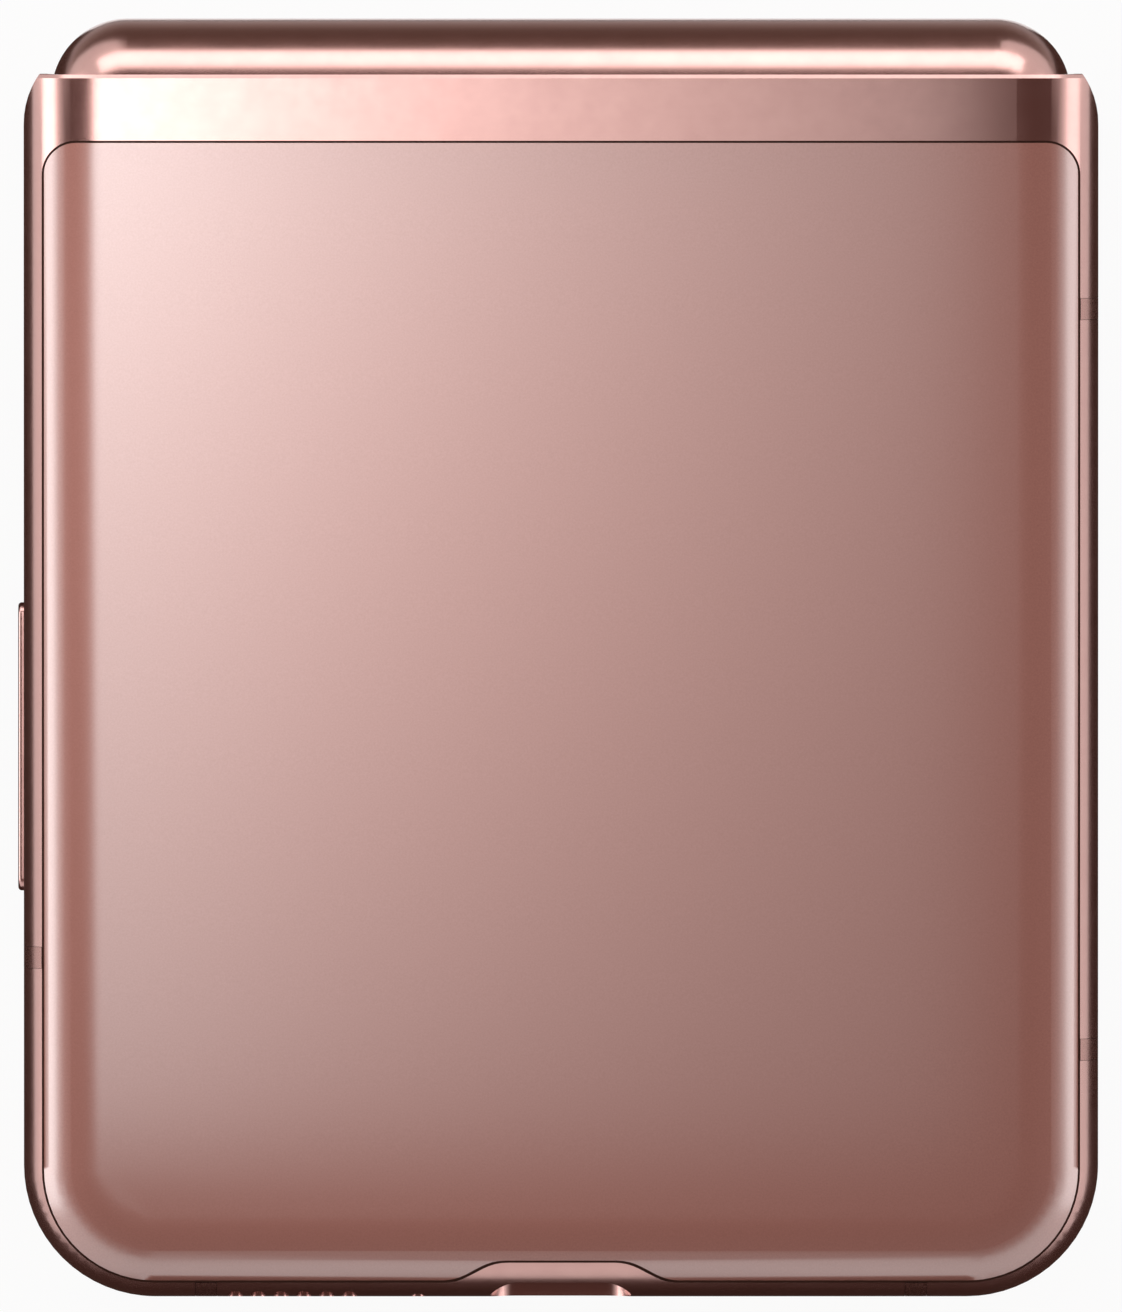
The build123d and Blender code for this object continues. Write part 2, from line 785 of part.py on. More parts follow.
with BuildPart() as upper_glass:
    add(upper.location * pane(False))
    with BuildSketch(upper.offset(floor_bottom)):
        with Locations(*lens_places):
            Circle(ring_radius + fit)
        with Locations((flash_x, lens_y)):
            Circle(flash_radius + fit)
        with Locations((window_middle, lens_y)):
            RectangleRounded(window_length + 2 * fit, window_width + 2 * fit, window_round + fit)
    extrude(amount=half_depth, mode=Mode.SUBTRACT)

with BuildPart() as camera_rings:
    with BuildSketch(upper.offset(half_depth)):
        with Locations(*lens_places):
            Circle(ring_radius)
    extrude(amount=-ring_height)
    with BuildSketch(upper.offset(glass_bottom - glass_bond)):
        with Locations(*lens_places):
            Circle(ring_flange_radius)
    extrude(amount=-ring_flange)
    with BuildSketch(upper.offset(half_depth)):
        with Locations(*lens_places):
            Circle(lens_radius + fit)
    extrude(amount=-window_depth - lens_window, mode=Mode.SUBTRACT)
    with BuildSketch(upper.offset(half_depth)):
        with Locations(*lens_places):
            Circle(barrel_radius + fit)
    extrude(amount=-half_depth, mode=Mode.SUBTRACT)

with BuildPart() as camera_windows:
    with BuildSketch(upper.offset(half_depth - window_depth)):
        with Locations(*lens_places):
            Circle(lens_radius)
    extrude(amount=-lens_window)

with BuildPart() as camera_modules:
    with BuildSketch(upper.offset(cell_start)):
        with Locations(*lens_places):
            RectangleRounded(camera_size, camera_size, 1)
    extrude(amount=camera_height)
    with BuildSketch(upper.offset(cell_start)):
        with Locations(*lens_places):
            Circle(barrel_radius)
    extrude(amount=half_depth - window_depth - lens_window - fit - cell_start)
    with BuildSketch(upper.offset(half_depth)):
        with Locations(*lens_places):
            Circle(aperture_radius + fit)
    extrude(amount=-aperture_depth, mode=Mode.SUBTRACT)

with BuildPart() as camera_lenses:
    for lens_place in lens_places:
        with BuildSketch(upper.offset(half_depth - aperture_depth)):
            with Locations(lens_place):
                Circle(aperture_radius)
        extrude(amount=lens_height)
    crowns = camera_lenses.faces().filter_by(Plane.XY).group_by(Axis.Z)[0]
    fillet(crowns.edges(), lens_height / 2)

with BuildPart() as flash_lens:
    with BuildSketch(upper.offset(half_depth)):
        with Locations((flash_x, lens_y)):
            Circle(flash_radius)
    extrude(amount=-ring_height)

with BuildPart() as cover_window:
    with BuildSketch(upper.offset(half_depth)):
        with Locations((window_middle, lens_y)):
            RectangleRounded(window_length, window_width, window_round)
    extrude(amount=-glass_thickness)

with BuildPart() as cover_screen:
    with BuildSketch(upper.offset(glass_bottom - glass_bond)):
        with Locations((window_middle, lens_y)):
            RectangleRounded(window_length - 1, window_width - 1, window_round)
    extrude(amount=-cover_screen_thickness)

# ---------------------------------------------------------------- camera half: keys and tray
flange_face = half_width - key_root - fit


def key(length, middle, proud):
    """A key with a flange behind the wall that keeps it in."""
    cap = side_bar(-1, middle, length, key_height, key_depth_middle, flange_face, half_width + proud)
    flange = side_bar(
        -1,
        middle,
        length + 2 * key_flange,
        key_height + key_flange,
        key_depth_middle,
        flange_face - key_flange,
        flange_face,
    )
    with BuildPart() as body:
        add(cap)
        crown = body.faces().sort_by(Axis.X)[0]
        fillet(crown.edges(), min(proud, key_height) / 2)
        add(flange)
    return body.part


with BuildPart() as volume_key:
    add(upper.location * key(volume_length, volume_middle, volume_proud))

with BuildPart() as power_key:
    add(upper.location * key(power_length, power_middle, power_proud))

switch_face = flange_face - key_flange - key_travel - fit
strip_x = half_width - ledge_width - fit

with BuildPart() as key_switches:
    strip_near = power_middle - power_length / 2
    strip_far = volume_middle + volume_length / 2
    with BuildSketch(upper.offset(key_depth_middle - key_height / 2)):
        with Locations((switch_strip / 2 - strip_x, (strip_near + strip_far) / 2)):
            Rectangle(switch_strip, strip_far - strip_near)
        switch_middle = -(strip_x + switch_face) / 2
        volume_offset = volume_length / 3
        with Locations(
            (switch_middle, power_middle),
            (switch_middle, volume_middle - volume_offset),
            (switch_middle, volume_middle + volume_offset),
        ):
            Rectangle(switch_face - strip_x, switch_length)
    extrude(amount=key_height)

with BuildPart() as card_tray:
    tray_head = side_bar(
        1,
        tray_middle,
        tray_length - 2 * fit,
        tray_height - 2 * fit,
        tray_depth_middle,
        half_width - ledge_width,
        half_width - fit,
    )
    add(upper.location * tray_head)
    carrier_end = half_width - ledge_width + carrier_lap
    carrier_middle = (tray_start + carrier_end) / 2
    carrier_length = carrier_end - tray_start
    with BuildSketch(upper.offset(tray_depth_middle - carrier_height / 2)):
        with Locations((carrier_middle, tray_middle)):
            RectangleRounded(carrier_length, carrier_width, carrier_round)
            RectangleRounded(
                carrier_length - 2 * carrier_rail,
                carrier_width - 2 * carrier_rail,
                carrier_round / 2,
                mode=Mode.SUBTRACT,
            )
    extrude(amount=carrier_height)

with BuildPart() as card_reader:
    reader_end = half_width - ledge_width - fit
    reader_middle = (reader_start + reader_end) / 2
    with BuildSketch(upper.offset(floor_bottom + fit)):
        with Locations((reader_middle, tray_middle)):
            Rectangle(reader_end - reader_start, tray_length + 2 * reader_side)
    extrude(amount=reader_height)
    mouth = side_bar(
        1,
        tray_middle,
        tray_length,
        tray_height,
        tray_depth_middle,
        tray_start - mouth_margin,
        half_width,
    )
    add(upper.location * mouth, mode=Mode.SUBTRACT)

# ---------------------------------------------------------------- camera half: inside
cell_near = hinge_block_end + cell_end_gap
board_width = phone_width - 2 * (ledge_width + board_side_gap)
main_board_near = far_end - ledge_width - main_board_end_gap - main_board_length

with BuildPart() as upper_cell:
    upper_cell_left = ledge_width + upper_cell_key_gap - half_width
    upper_cell_right = reader_start - upper_cell_reader_gap
    upper_cell_far = main_board_near - upper_cell_board_gap
    upper_cell_middle = ((upper_cell_left + upper_cell_right) / 2, (cell_near + upper_cell_far) / 2)
    with BuildSketch(upper.offset(cell_start)):
        with Locations(upper_cell_middle):
            RectangleRounded(
                upper_cell_right - upper_cell_left, upper_cell_far - cell_near, cell_round
            )
    extrude(amount=cell_end - cell_start)

can_width = (board_width - 2 * can_margin - can_gap) / 2
can_x = (can_width + can_gap) / 2
can_y = main_board_near + can_inset + can_length / 2

with BuildPart() as main_board:
    with BuildSketch(upper.offset(board_start)):
        with Locations((0, main_board_near + main_board_length / 2)):
            RectangleRounded(board_width, main_board_length, board_round)
        with Locations(*lens_places):
            camera_hole = camera_size + 2 * camera_room
            Rectangle(camera_hole, camera_hole, mode=Mode.SUBTRACT)
    extrude(amount=board_thickness)

with BuildPart() as shield_cans:
    with BuildSketch(upper.offset(board_start + board_thickness)):
        with Locations((-can_x, can_y), (can_x, can_y)):
            RectangleRounded(can_width, can_length, can_round)
        with Locations((window_middle, lens_y)):
            RectangleRounded(
                window_length - 2 * window_can_inset, window_width - 2 * window_can_margin, can_round
            )
    extrude(amount=can_height)

with BuildPart() as front_camera:
    with BuildSketch(upper.offset(fit)):
        with Locations((0, far_end - front_camera_row)):
            Circle(front_camera_radius)
    extrude(amount=board_start - 2 * fit)

with BuildPart() as receiver:
    with BuildSketch(upper.offset(floor_bottom + fit)):
        with Locations((receiver_x, far_end - front_camera_row)):
            RectangleRounded(receiver_length, receiver_width, 1)
    extrude(amount=board_start - floor_bottom - 2 * fit)

# ---------------------------------------------------------------- plain half: shell
shell_height = socket_height + 2 * socket_wall
shell_front = far_end - socket_recess
shell_back = shell_front - socket_length
mic_x = speaker_middle - slot_span / 2 - mic_gap
end_face = Plane(origin=(0, far_end + 1, speaker_depth), x_dir=(1, 0, 0), z_dir=(0, 1, 0))

with BuildPart(mode=Mode.PRIVATE) as end_holes:
    with BuildSketch(end_face):
        with Locations((speaker_middle, 0)):
            with GridLocations(speaker_pitch, 1, speaker_count, 1):
                SlotOverall(speaker_slot_height, 2 * speaker_slot_radius, rotation=90)
        with Locations((mic_x, 0)):
            Circle(mic_radius)
    extrude(amount=-ledge_width - 2)

with BuildPart() as lower_frame:
    add(lower.location * frame(True, station_lower))
    socket_hole = end_bar(
        0, shell_length + 2 * fit, shell_height + 2 * fit, socket_depth, shell_back - fit, far_end + 1
    )
    add(lower.location * socket_hole, mode=Mode.SUBTRACT)
    add(lower.location * end_holes.part, mode=Mode.SUBTRACT)

with BuildPart() as lower_glass:
    add(lower.location * pane(True))

with BuildPart() as socket_shell:
    outside = end_bar(0, shell_length, shell_height, socket_depth, shell_back, shell_front)
    inside = end_bar(0, socket_width, socket_height, socket_depth, shell_back, shell_front)
    add(lower.location * outside)
    add(lower.location * inside, mode=Mode.SUBTRACT)

with BuildPart() as socket_tongue:
    tongue_back = end_bar(
        0, socket_width - 2 * fit, socket_height - 2 * fit, socket_depth, shell_back, shell_back + 1
    )
    add(lower.location * tongue_back)
    with BuildSketch(lower.offset(socket_depth - tongue_height / 2)):
        with Locations((0, (shell_back + shell_front - tongue_recess) / 2)):
            Rectangle(tongue_width, shell_front - tongue_recess - shell_back)
    extrude(amount=tongue_height)

# ---------------------------------------------------------------- plain half: inside
charge_board_near = far_end - ledge_width - charge_board_end_gap - charge_board_length
lower_cell_far = charge_board_near - lower_cell_board_gap
lower_cell_width = phone_width - 2 * (ledge_width + lower_cell_side_gap)

with BuildPart() as lower_cell:
    with BuildSketch(lower.offset(cell_start)):
        with Locations((0, (cell_near + lower_cell_far) / 2)):
            RectangleRounded(lower_cell_width, lower_cell_far - cell_near, cell_round)
    extrude(amount=cell_end - cell_start)

coil_y = (cell_near + lower_cell_far) / 2
coil_outer = coil_inner + coil_turns * coil_pitch

with BuildPart() as coil_sheet:
    with BuildSketch(lower.offset(cell_end + fit)):
        with Locations((0, coil_y)):
            Circle(coil_outer + coil_pitch)
    extrude(amount=coil_backing)

with BuildPart() as charging_coil:
    with BuildSketch(lower.offset(cell_end + fit + coil_backing)):
        with Locations((0, coil_y)):
            for turn in range(coil_turns):
                Circle(coil_inner + turn * coil_pitch + coil_pitch - coil_wire)
                Circle(coil_inner + turn * coil_pitch, mode=Mode.SUBTRACT)
        with Locations((0, coil_y + (coil_inner + coil_outer) / 2)):
            Rectangle(coil_wire, coil_outer - coil_inner - coil_wire)
    extrude(amount=coil_wire)

charge_board_left = -board_width / 2
charge_board_right = speaker_middle - speaker_length / 2 - charge_board_speaker_gap
charge_board_middle = charge_board_near + charge_board_length / 2

with BuildPart() as charge_board:
    with BuildSketch(lower.offset(board_start)):
        with Locations(((charge_board_left + charge_board_right) / 2, charge_board_middle)):
            RectangleRounded(
                charge_board_right - charge_board_left, charge_board_length, board_round
            )
        with Locations((0, shell_back + charge_board_length / 2)):
            Rectangle(
                shell_length + 2 * socket_room,
                charge_board_length + 2 * socket_room,
                mode=Mode.SUBTRACT,
            )
    extrude(amount=board_thickness)

with BuildPart() as speaker:
    with BuildSketch(lower.offset(floor_bottom + fit)):
        with Locations((speaker_middle, far_end - ledge_width - 1 - speaker_width / 2)):
            RectangleRounded(speaker_length, speaker_width, 2)
    extrude(amount=speaker_height)

with BuildPart() as speaker_mesh:
    with BuildSketch(lower.offset(speaker_depth - speaker_slot_height / 2 - 0.2)):
        with Locations((speaker_middle, far_end - ledge_width - 0.5)):
            Rectangle(slot_span + 4 * speaker_slot_radius, 0.5)
    extrude(amount=speaker_slot_height + 0.4)

with BuildPart() as vibration_motor:
    with BuildSketch(lower.offset(board_start + board_thickness)):
        with Locations((charge_board_left + motor_inset, charge_board_middle)):
            Circle(motor_radius)
    extrude(amount=motor_height)

# ---------------------------------------------------------------- spine
def station_boxes(start, width, depth_from, depth_to, side_from, side_to):
    """A pair of blocks, mirrored across the phone, on the spine's plane."""
    middle = ((depth_from + depth_to) / 2, (side_from + side_to) / 2)
    with BuildPart() as blocks:
        with BuildSketch(spine.offset(start)):
            with Locations(middle):
                Rectangle(depth_to - depth_from, side_to - side_from)
        extrude(amount=width)
        mirror(about=Plane.YZ)
    return blocks.part


slot_start_upper = station_upper - slot_side
slot_start_lower = station_lower - slot_side
slot_width = arm_width + 2 * slot_side
arm_reach = spine_radius + axis_height + 1

with BuildPart() as spine_cover:
    add(spine_form(0, spine))
    with BuildSketch(spine.offset(-half_width)):
        with Locations((spine_edge / 2, 0)):
            Rectangle(spine_edge, 4 * spine_radius)
    extrude(amount=phone_width, mode=Mode.SUBTRACT)
    add(spine_form(spine_wall, spine), mode=Mode.SUBTRACT)
    upper_notch = station_boxes(
        slot_start_upper - fit, slot_width + 2 * fit, 0, arm_notch_depth, -arm_reach, -axis_spacing
    )
    lower_notch = station_boxes(
        slot_start_lower - fit, slot_width + 2 * fit, 0, arm_notch_depth, axis_spacing, arm_reach
    )
    add(upper_notch, mode=Mode.SUBTRACT)
    add(lower_notch, mode=Mode.SUBTRACT)

tip = sector_radius + addendum + fit
gear_start = station_gears - slot_side
gear_end = station_gears + gear_width + slot_side
shaft_bore = shaft_radius + bore_clearance
pinion_bore = pinion_radius + addendum + fit
idler_bore = idler_radius + addendum + fit


def round_bore(start, width, radius, places):
    """Bores along the phone's width in both brackets."""
    with BuildPart() as bores:
        with BuildSketch(spine.offset(start)):
            with Locations(*places):
                Circle(radius)
        extrude(amount=width)
        mirror(about=Plane.YZ)
    return bores.part


def arc_slot(start, side):
    """Room for one arm: a ring about its axis and the way out over the bracket's face."""
    with BuildPart() as slot:
        with BuildSketch(spine.offset(start)):
            with Locations((0, side * axis_height)):
                Circle(tip)
                Circle(arm_inner_radius - fit, mode=Mode.SUBTRACT)
            with Locations((arm_bottom / 2 + fit, side * (axis_height + arm_end / 2 + 2))):
                Rectangle(arm_bottom + 2 * fit, arm_end)
        extrude(amount=slot_width)
        mirror(about=Plane.YZ)
    return slot.part


upper_pinion_place = (pinion_x, -pinion_y)
lower_pinion_place = (pinion_x, pinion_y)
idler_places = ((idler_x, -idler_y), (idler_x, idler_y))

with BuildPart() as hinge_brackets:
    with BuildSketch(spine.offset(bracket_start)):
        SlotCenterToCenter(axis_spacing, 2 * bracket_radius, rotation=90)
        with Locations((bracket_face - bracket_radius, 0)):
            Rectangle(2 * bracket_radius, 4 * bracket_radius, mode=Mode.SUBTRACT)
    extrude(amount=bracket_end - bracket_start)
    mirror(about=Plane.YZ)
    add(arc_slot(slot_start_upper, -1), mode=Mode.SUBTRACT)
    add(arc_slot(slot_start_lower, 1), mode=Mode.SUBTRACT)
    upper_run = round_bore(
        slot_start_upper, gear_end - slot_start_upper, pinion_bore, [upper_pinion_place]
    )
    lower_run = round_bore(
        gear_start, slot_start_lower + slot_width - gear_start, pinion_bore, [lower_pinion_place]
    )
    add(upper_run, mode=Mode.SUBTRACT)
    add(lower_run, mode=Mode.SUBTRACT)
    add(round_bore(gear_start, gear_end - gear_start, idler_bore, idler_places), mode=Mode.SUBTRACT)
    gear_room = station_boxes(
        gear_start, gear_end - gear_start, idler_x, bracket_radius + 1, -pinion_y, pinion_y
    )
    add(gear_room, mode=Mode.SUBTRACT)
    idler_axles = round_bore(
        gear_start - axle_seat, gear_end - gear_start + 2 * axle_seat, shaft_bore, idler_places
    )
    add(idler_axles, mode=Mode.SUBTRACT)
    shaft_holes = round_bore(
        bracket_start, bracket_end - bracket_start, shaft_bore, [upper_pinion_place, lower_pinion_place]
    )
    add(shaft_holes, mode=Mode.SUBTRACT)


def pinions(start, width, place, phase):
    """The pinion of one tub in both brackets, with its long shaft."""
    with BuildPart() as pair:
        with BuildSketch(spine.offset(start)):
            with Locations(place):
                Circle(pinion_radius - dedendum)
                add(gear_face(pinion_radius, tooth_angles(pinion_teeth, phase)))
        extrude(amount=width)
        with BuildSketch(spine.offset(bracket_start)):
            with Locations(place):
                Circle(shaft_radius)
        extrude(amount=retainer_end - bracket_start)
        mirror(about=Plane.YZ)
    return pair.part


def idlers(place, phase):
    with BuildPart() as pair:
        with BuildSketch(spine.offset(station_gears)):
            with Locations(place):
                Circle(idler_radius - dedendum)
                add(gear_face(idler_radius, tooth_angles(idler_teeth, phase)))
        extrude(amount=gear_width)
        with BuildSketch(spine.offset(gear_start - axle_seat + fit)):
            with Locations(place):
                Circle(shaft_radius)
        extrude(amount=gear_end - gear_start + 2 * (axle_seat - fit))
        mirror(about=Plane.YZ)
    return pair.part


with BuildPart() as upper_pinions:
    upper_run_width = station_gears + gear_width - station_upper
    add(pinions(station_upper, upper_run_width, upper_pinion_place, upper_pinion_phase))

with BuildPart() as lower_pinions:
    lower_run_width = station_lower + arm_width - station_gears
    add(pinions(station_gears, lower_run_width, lower_pinion_place, lower_pinion_phase))

with BuildPart() as upper_idlers:
    add(idlers(idler_places[0], upper_idler_phase))

with BuildPart() as lower_idlers:
    add(idlers(idler_places[1], lower_idler_phase))

with BuildPart() as shaft_supports:
    with BuildSketch(spine.offset(retainer_start)):
        SlotCenterToCenter(axis_spacing, 2 * bracket_radius, rotation=90)
        with Locations((bracket_face - bracket_radius, 0)):
            Rectangle(2 * bracket_radius, 4 * bracket_radius, mode=Mode.SUBTRACT)
        with Locations(upper_pinion_place, lower_pinion_place):
            Circle(shaft_bore, mode=Mode.SUBTRACT)
    extrude(amount=retainer_end - retainer_start)
    mirror(about=Plane.YZ)



def disc_springs(place):
    """Dished discs, in pairs back to back, along one shaft of both brackets."""
    pair_pitch = spring_length / spring_pairs
    centre = spine.from_local_coords((*place, 0))
    side = Plane(origin=centre, x_dir=spine.z_dir, z_dir=spine.x_dir)
    near = shaft_radius + bore_clearance
    with BuildPart() as discs:
        for pair in range(spring_pairs):
            start = spring_start + pair * pair_pitch
            end = start + pair_pitch - fit
            with BuildSketch(side):
                Polygon(
                    (start, near),
                    (start + disc_thickness, near),
                    (start + disc_thickness + disc_dish, spring_radius),
                    (start + disc_dish, spring_radius),
                    align=None,
                )
                Polygon(
                    (end, near),
                    (end - disc_thickness, near),
                    (end - disc_thickness - disc_dish, spring_radius),
                    (end - disc_dish, spring_radius),
                    align=None,
                )
            revolve(axis=Axis(centre, spine.z_dir))
        mirror(about=Plane.YZ)
    return discs.part


with BuildPart() as spring_discs:
    add(disc_springs(upper_pinion_place))
    add(disc_springs(lower_pinion_place))

support_edge = axis_height - support_margin

with BuildPart() as fold_support:
    with BuildSketch(spine.offset(-support_half_width)):
        with Locations(((support_top + bracket_face - fit) / 2, 0)):
            Rectangle(bracket_face - fit - support_top, 2 * support_edge)
    extrude(amount=2 * support_half_width)
    upper_gap = station_boxes(
        slot_start_upper, slot_width, 0, bracket_face, -axis_height, support_slot_end
    )
    lower_gap = station_boxes(
        slot_start_lower, slot_width, 0, bracket_face, -support_slot_end, axis_height
    )
    add(upper_gap, mode=Mode.SUBTRACT)
    add(lower_gap, mode=Mode.SUBTRACT)

# ---------------------------------------------------------------- screen's bend
fold_start = fold_gap - fold_edge
fold_depth = fold_reach - fold_start

with BuildPart() as display_fold:
    with BuildSketch(spine.offset(-fold_half_width)):
        with Locations((fold_start, 0)):
            Ellipse(fold_depth, axis_height + panel_thickness)
            Ellipse(fold_depth - panel_thickness, axis_height, mode=Mode.SUBTRACT)
        with Locations((fold_start - fold_depth, 0)):
            Rectangle(2 * fold_depth, 4 * axis_spacing, mode=Mode.SUBTRACT)
    extrude(amount=2 * fold_half_width)

pieces = {
    "upper_frame": upper_frame,
    "upper_glass": upper_glass,
    "upper_breaks": upper_breaks,
    "upper_bezel": upper_bezel,
    "earpiece_mesh": earpiece_mesh,
    "upper_panel": upper_panel,
    "upper_wing": upper_wing,
    "upper_arms": upper_arms,
    "upper_arm_screws": upper_arm_screws,
    "upper_bumpers": upper_bumpers,
    "camera_rings": camera_rings,
    "camera_windows": camera_windows,
    "camera_modules": camera_modules,
    "camera_lenses": camera_lenses,
    "flash_lens": flash_lens,
    "cover_window": cover_window,
    "cover_screen": cover_screen,
    "volume_key": volume_key,
    "power_key": power_key,
    "key_switches": key_switches,
    "card_tray": card_tray,
    "card_reader": card_reader,
    "upper_cell": upper_cell,
    "main_board": main_board,
    "shield_cans": shield_cans,
    "front_camera": front_camera,
    "receiver": receiver,
    "lower_frame": lower_frame,
    "lower_glass": lower_glass,
    "lower_breaks": lower_breaks,
    "lower_bezel": lower_bezel,
    "lower_panel": lower_panel,
    "lower_wing": lower_wing,
    "lower_arms": lower_arms,
    "lower_arm_screws": lower_arm_screws,
    "lower_bumpers": lower_bumpers,
    "socket_shell": socket_shell,
    "socket_tongue": socket_tongue,
    "lower_cell": lower_cell,
    "coil_sheet": coil_sheet,
    "charging_coil": charging_coil,
    "charge_board": charge_board,
    "speaker": speaker,
    "speaker_mesh": speaker_mesh,
    "vibration_motor": vibration_motor,
    "spine_cover": spine_cover,
    "hinge_brackets": hinge_brackets,
    "shaft_supports": shaft_supports,
    "upper_pinions": upper_pinions,
    "lower_pinions": lower_pinions,
    "upper_idlers": upper_idlers,
    "lower_idlers": lower_idlers,
    "spring_discs": spring_discs,
    "fold_support": fold_support,
    "display_fold": display_fold,
}

for piece_name, piece in pieces.items():
    piece.part.label = piece_name
    export_step(piece.part, f"parts/{piece_name}.step")
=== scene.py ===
"""Dressing of a folding phone that is shut and lies on its camera side.

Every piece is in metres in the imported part's own frame: +Z up, +Y towards the hinge spine. The solids
of the part keep their shapes. This file gives each of them its finish, models the flexible screen where
it bends, the contacts of the socket and the bead of adhesive round each back glass, and sets the studio
round it.
"""

import json
import logging
import math
from dataclasses import dataclass
from enum import Enum

import bmesh
import bpy
from mathutils import Matrix, Vector

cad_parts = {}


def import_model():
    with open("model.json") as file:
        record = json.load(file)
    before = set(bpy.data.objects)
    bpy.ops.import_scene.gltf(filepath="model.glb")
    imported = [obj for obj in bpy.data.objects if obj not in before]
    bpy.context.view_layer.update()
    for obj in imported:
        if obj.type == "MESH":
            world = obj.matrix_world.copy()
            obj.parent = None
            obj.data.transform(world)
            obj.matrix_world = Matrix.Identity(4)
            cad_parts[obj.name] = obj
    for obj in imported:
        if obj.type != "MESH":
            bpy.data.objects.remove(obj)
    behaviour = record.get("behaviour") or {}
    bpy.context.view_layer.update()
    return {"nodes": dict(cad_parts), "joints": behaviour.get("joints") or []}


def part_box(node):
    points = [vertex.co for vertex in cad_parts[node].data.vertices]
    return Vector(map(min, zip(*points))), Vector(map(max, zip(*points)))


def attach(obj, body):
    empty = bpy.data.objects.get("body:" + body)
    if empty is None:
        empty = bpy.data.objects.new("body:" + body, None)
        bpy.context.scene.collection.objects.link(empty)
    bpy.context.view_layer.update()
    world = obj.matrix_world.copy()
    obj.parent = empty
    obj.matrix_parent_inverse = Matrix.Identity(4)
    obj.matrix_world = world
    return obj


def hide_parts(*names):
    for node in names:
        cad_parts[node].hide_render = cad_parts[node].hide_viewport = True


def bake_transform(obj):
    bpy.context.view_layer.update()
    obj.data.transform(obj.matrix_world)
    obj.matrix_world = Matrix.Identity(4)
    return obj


LOG = logging.getLogger("phone")
MM = 0.001
# Faces that meet at less than this are shaded as one surface.
CREASE = math.radians(35)
# Nearly all of a noise lies between these values.
NOISE_SPAN = (0.25, 0.75)
# A wave texture draws this many bands in one unit.
BANDS_PER_UNIT = 20 / math.tau


# ---------------------------------------------------------------- shader helpers
def linear(code: str) -> tuple[float, float, float, float]:
    """Turn an sRGB hex colour into a linear one.

    Args:
        code: six hex digits, such as "c9a08f".

    Returns:
        The linear red, green and blue with an alpha of 1.
    """
    channels = [int(code[at : at + 2], 16) / 255 for at in (0, 2, 4)]
    bent = [c / 12.92 if c <= 0.04045 else ((c + 0.055) / 1.055) ** 2.4 for c in channels]
    return (bent[0], bent[1], bent[2], 1.0)


def add_node(tree: bpy.types.NodeTree, kind: str, values: dict, links: dict | None = None) -> bpy.types.Node:
    """Add one shader node with its settings and links.

    Args:
        tree: the node tree that it goes into.
        kind: the node's type, without the leading "ShaderNode".
        values: socket values by socket name or number, and the node's own settings by attribute name.
        links: the output socket that feeds each input, by the input's name or number.

    Returns:
        The new node.
    """
    node = tree.nodes.new("ShaderNode" + kind)
    for key, value in values.items():
        if isinstance(key, str) and hasattr(node, key):
            setattr(node, key, value)
        else:
            node.inputs[key].default_value = value
    for key, source in (links or {}).items():
        tree.links.new(source, node.inputs[key])
    return node


def per_mm(size: float) -> float:
    """Return the texture scale at which one pattern unit is this many millimetres."""
    return 1 / (size * MM)


def grade(
    tree: bpy.types.NodeTree,
    source: bpy.types.NodeSocket,
    span: tuple[float, float],
    result: tuple[float, float] = (0.0, 1.0),
) -> bpy.types.NodeSocket:
    """Stretch a span of a value onto another, and hold it at both ends.

    Args:
        tree: the node tree.
        source: the value.
        span: the two values that it runs between.
        result: what they become.

    Returns:
        The stretched value.
    """
    ends = {"From Min": span[0], "From Max": span[1], "To Min": result[0], "To Max": result[1]}
    return add_node(tree, "MapRange", ends, {"Value": source}).outputs["Result"]


def mix_colours(
    tree: bpy.types.NodeTree, share: bpy.types.NodeSocket, first: str | bpy.types.NodeSocket, second: str
) -> bpy.types.NodeSocket:
    """Run between two colours.

    Args:
        tree: the node tree.
        share: 0 for the first colour, 1 for the second.
        first: an sRGB hex colour, or a socket that gives one.
        second: an sRGB hex colour.

    Returns:
        The mixed colour.
    """
    values = {"data_type": "RGBA", 7: linear(second)}
    links = {0: share}
    if isinstance(first, str):
        values[6] = linear(first)
    else:
        links[6] = first
    return add_node(tree, "Mix", values, links).outputs[2]


def pick_tone(
    tree: bpy.types.NodeTree, source: bpy.types.NodeSocket, stops: tuple[tuple[float, str], ...]
) -> bpy.types.NodeSocket:
    """Read a colour off a row of stops.

    Args:
        tree: the node tree.
        source: the place along the row, from 0 to 1.
        stops: each stop's place and its sRGB hex colour, in order.

    Returns:
        The colour.
    """
    ramp = add_node(tree, "ValToRGB", {}, {"Fac": source})
    elements = ramp.color_ramp.elements
    elements[1].position = stops[-1][0]
    for position, _ in stops[1:-1]:
        elements.new(position)
    for element, (_, colour) in zip(elements, stops):
        element.color = linear(colour)
    return ramp.outputs["Color"]


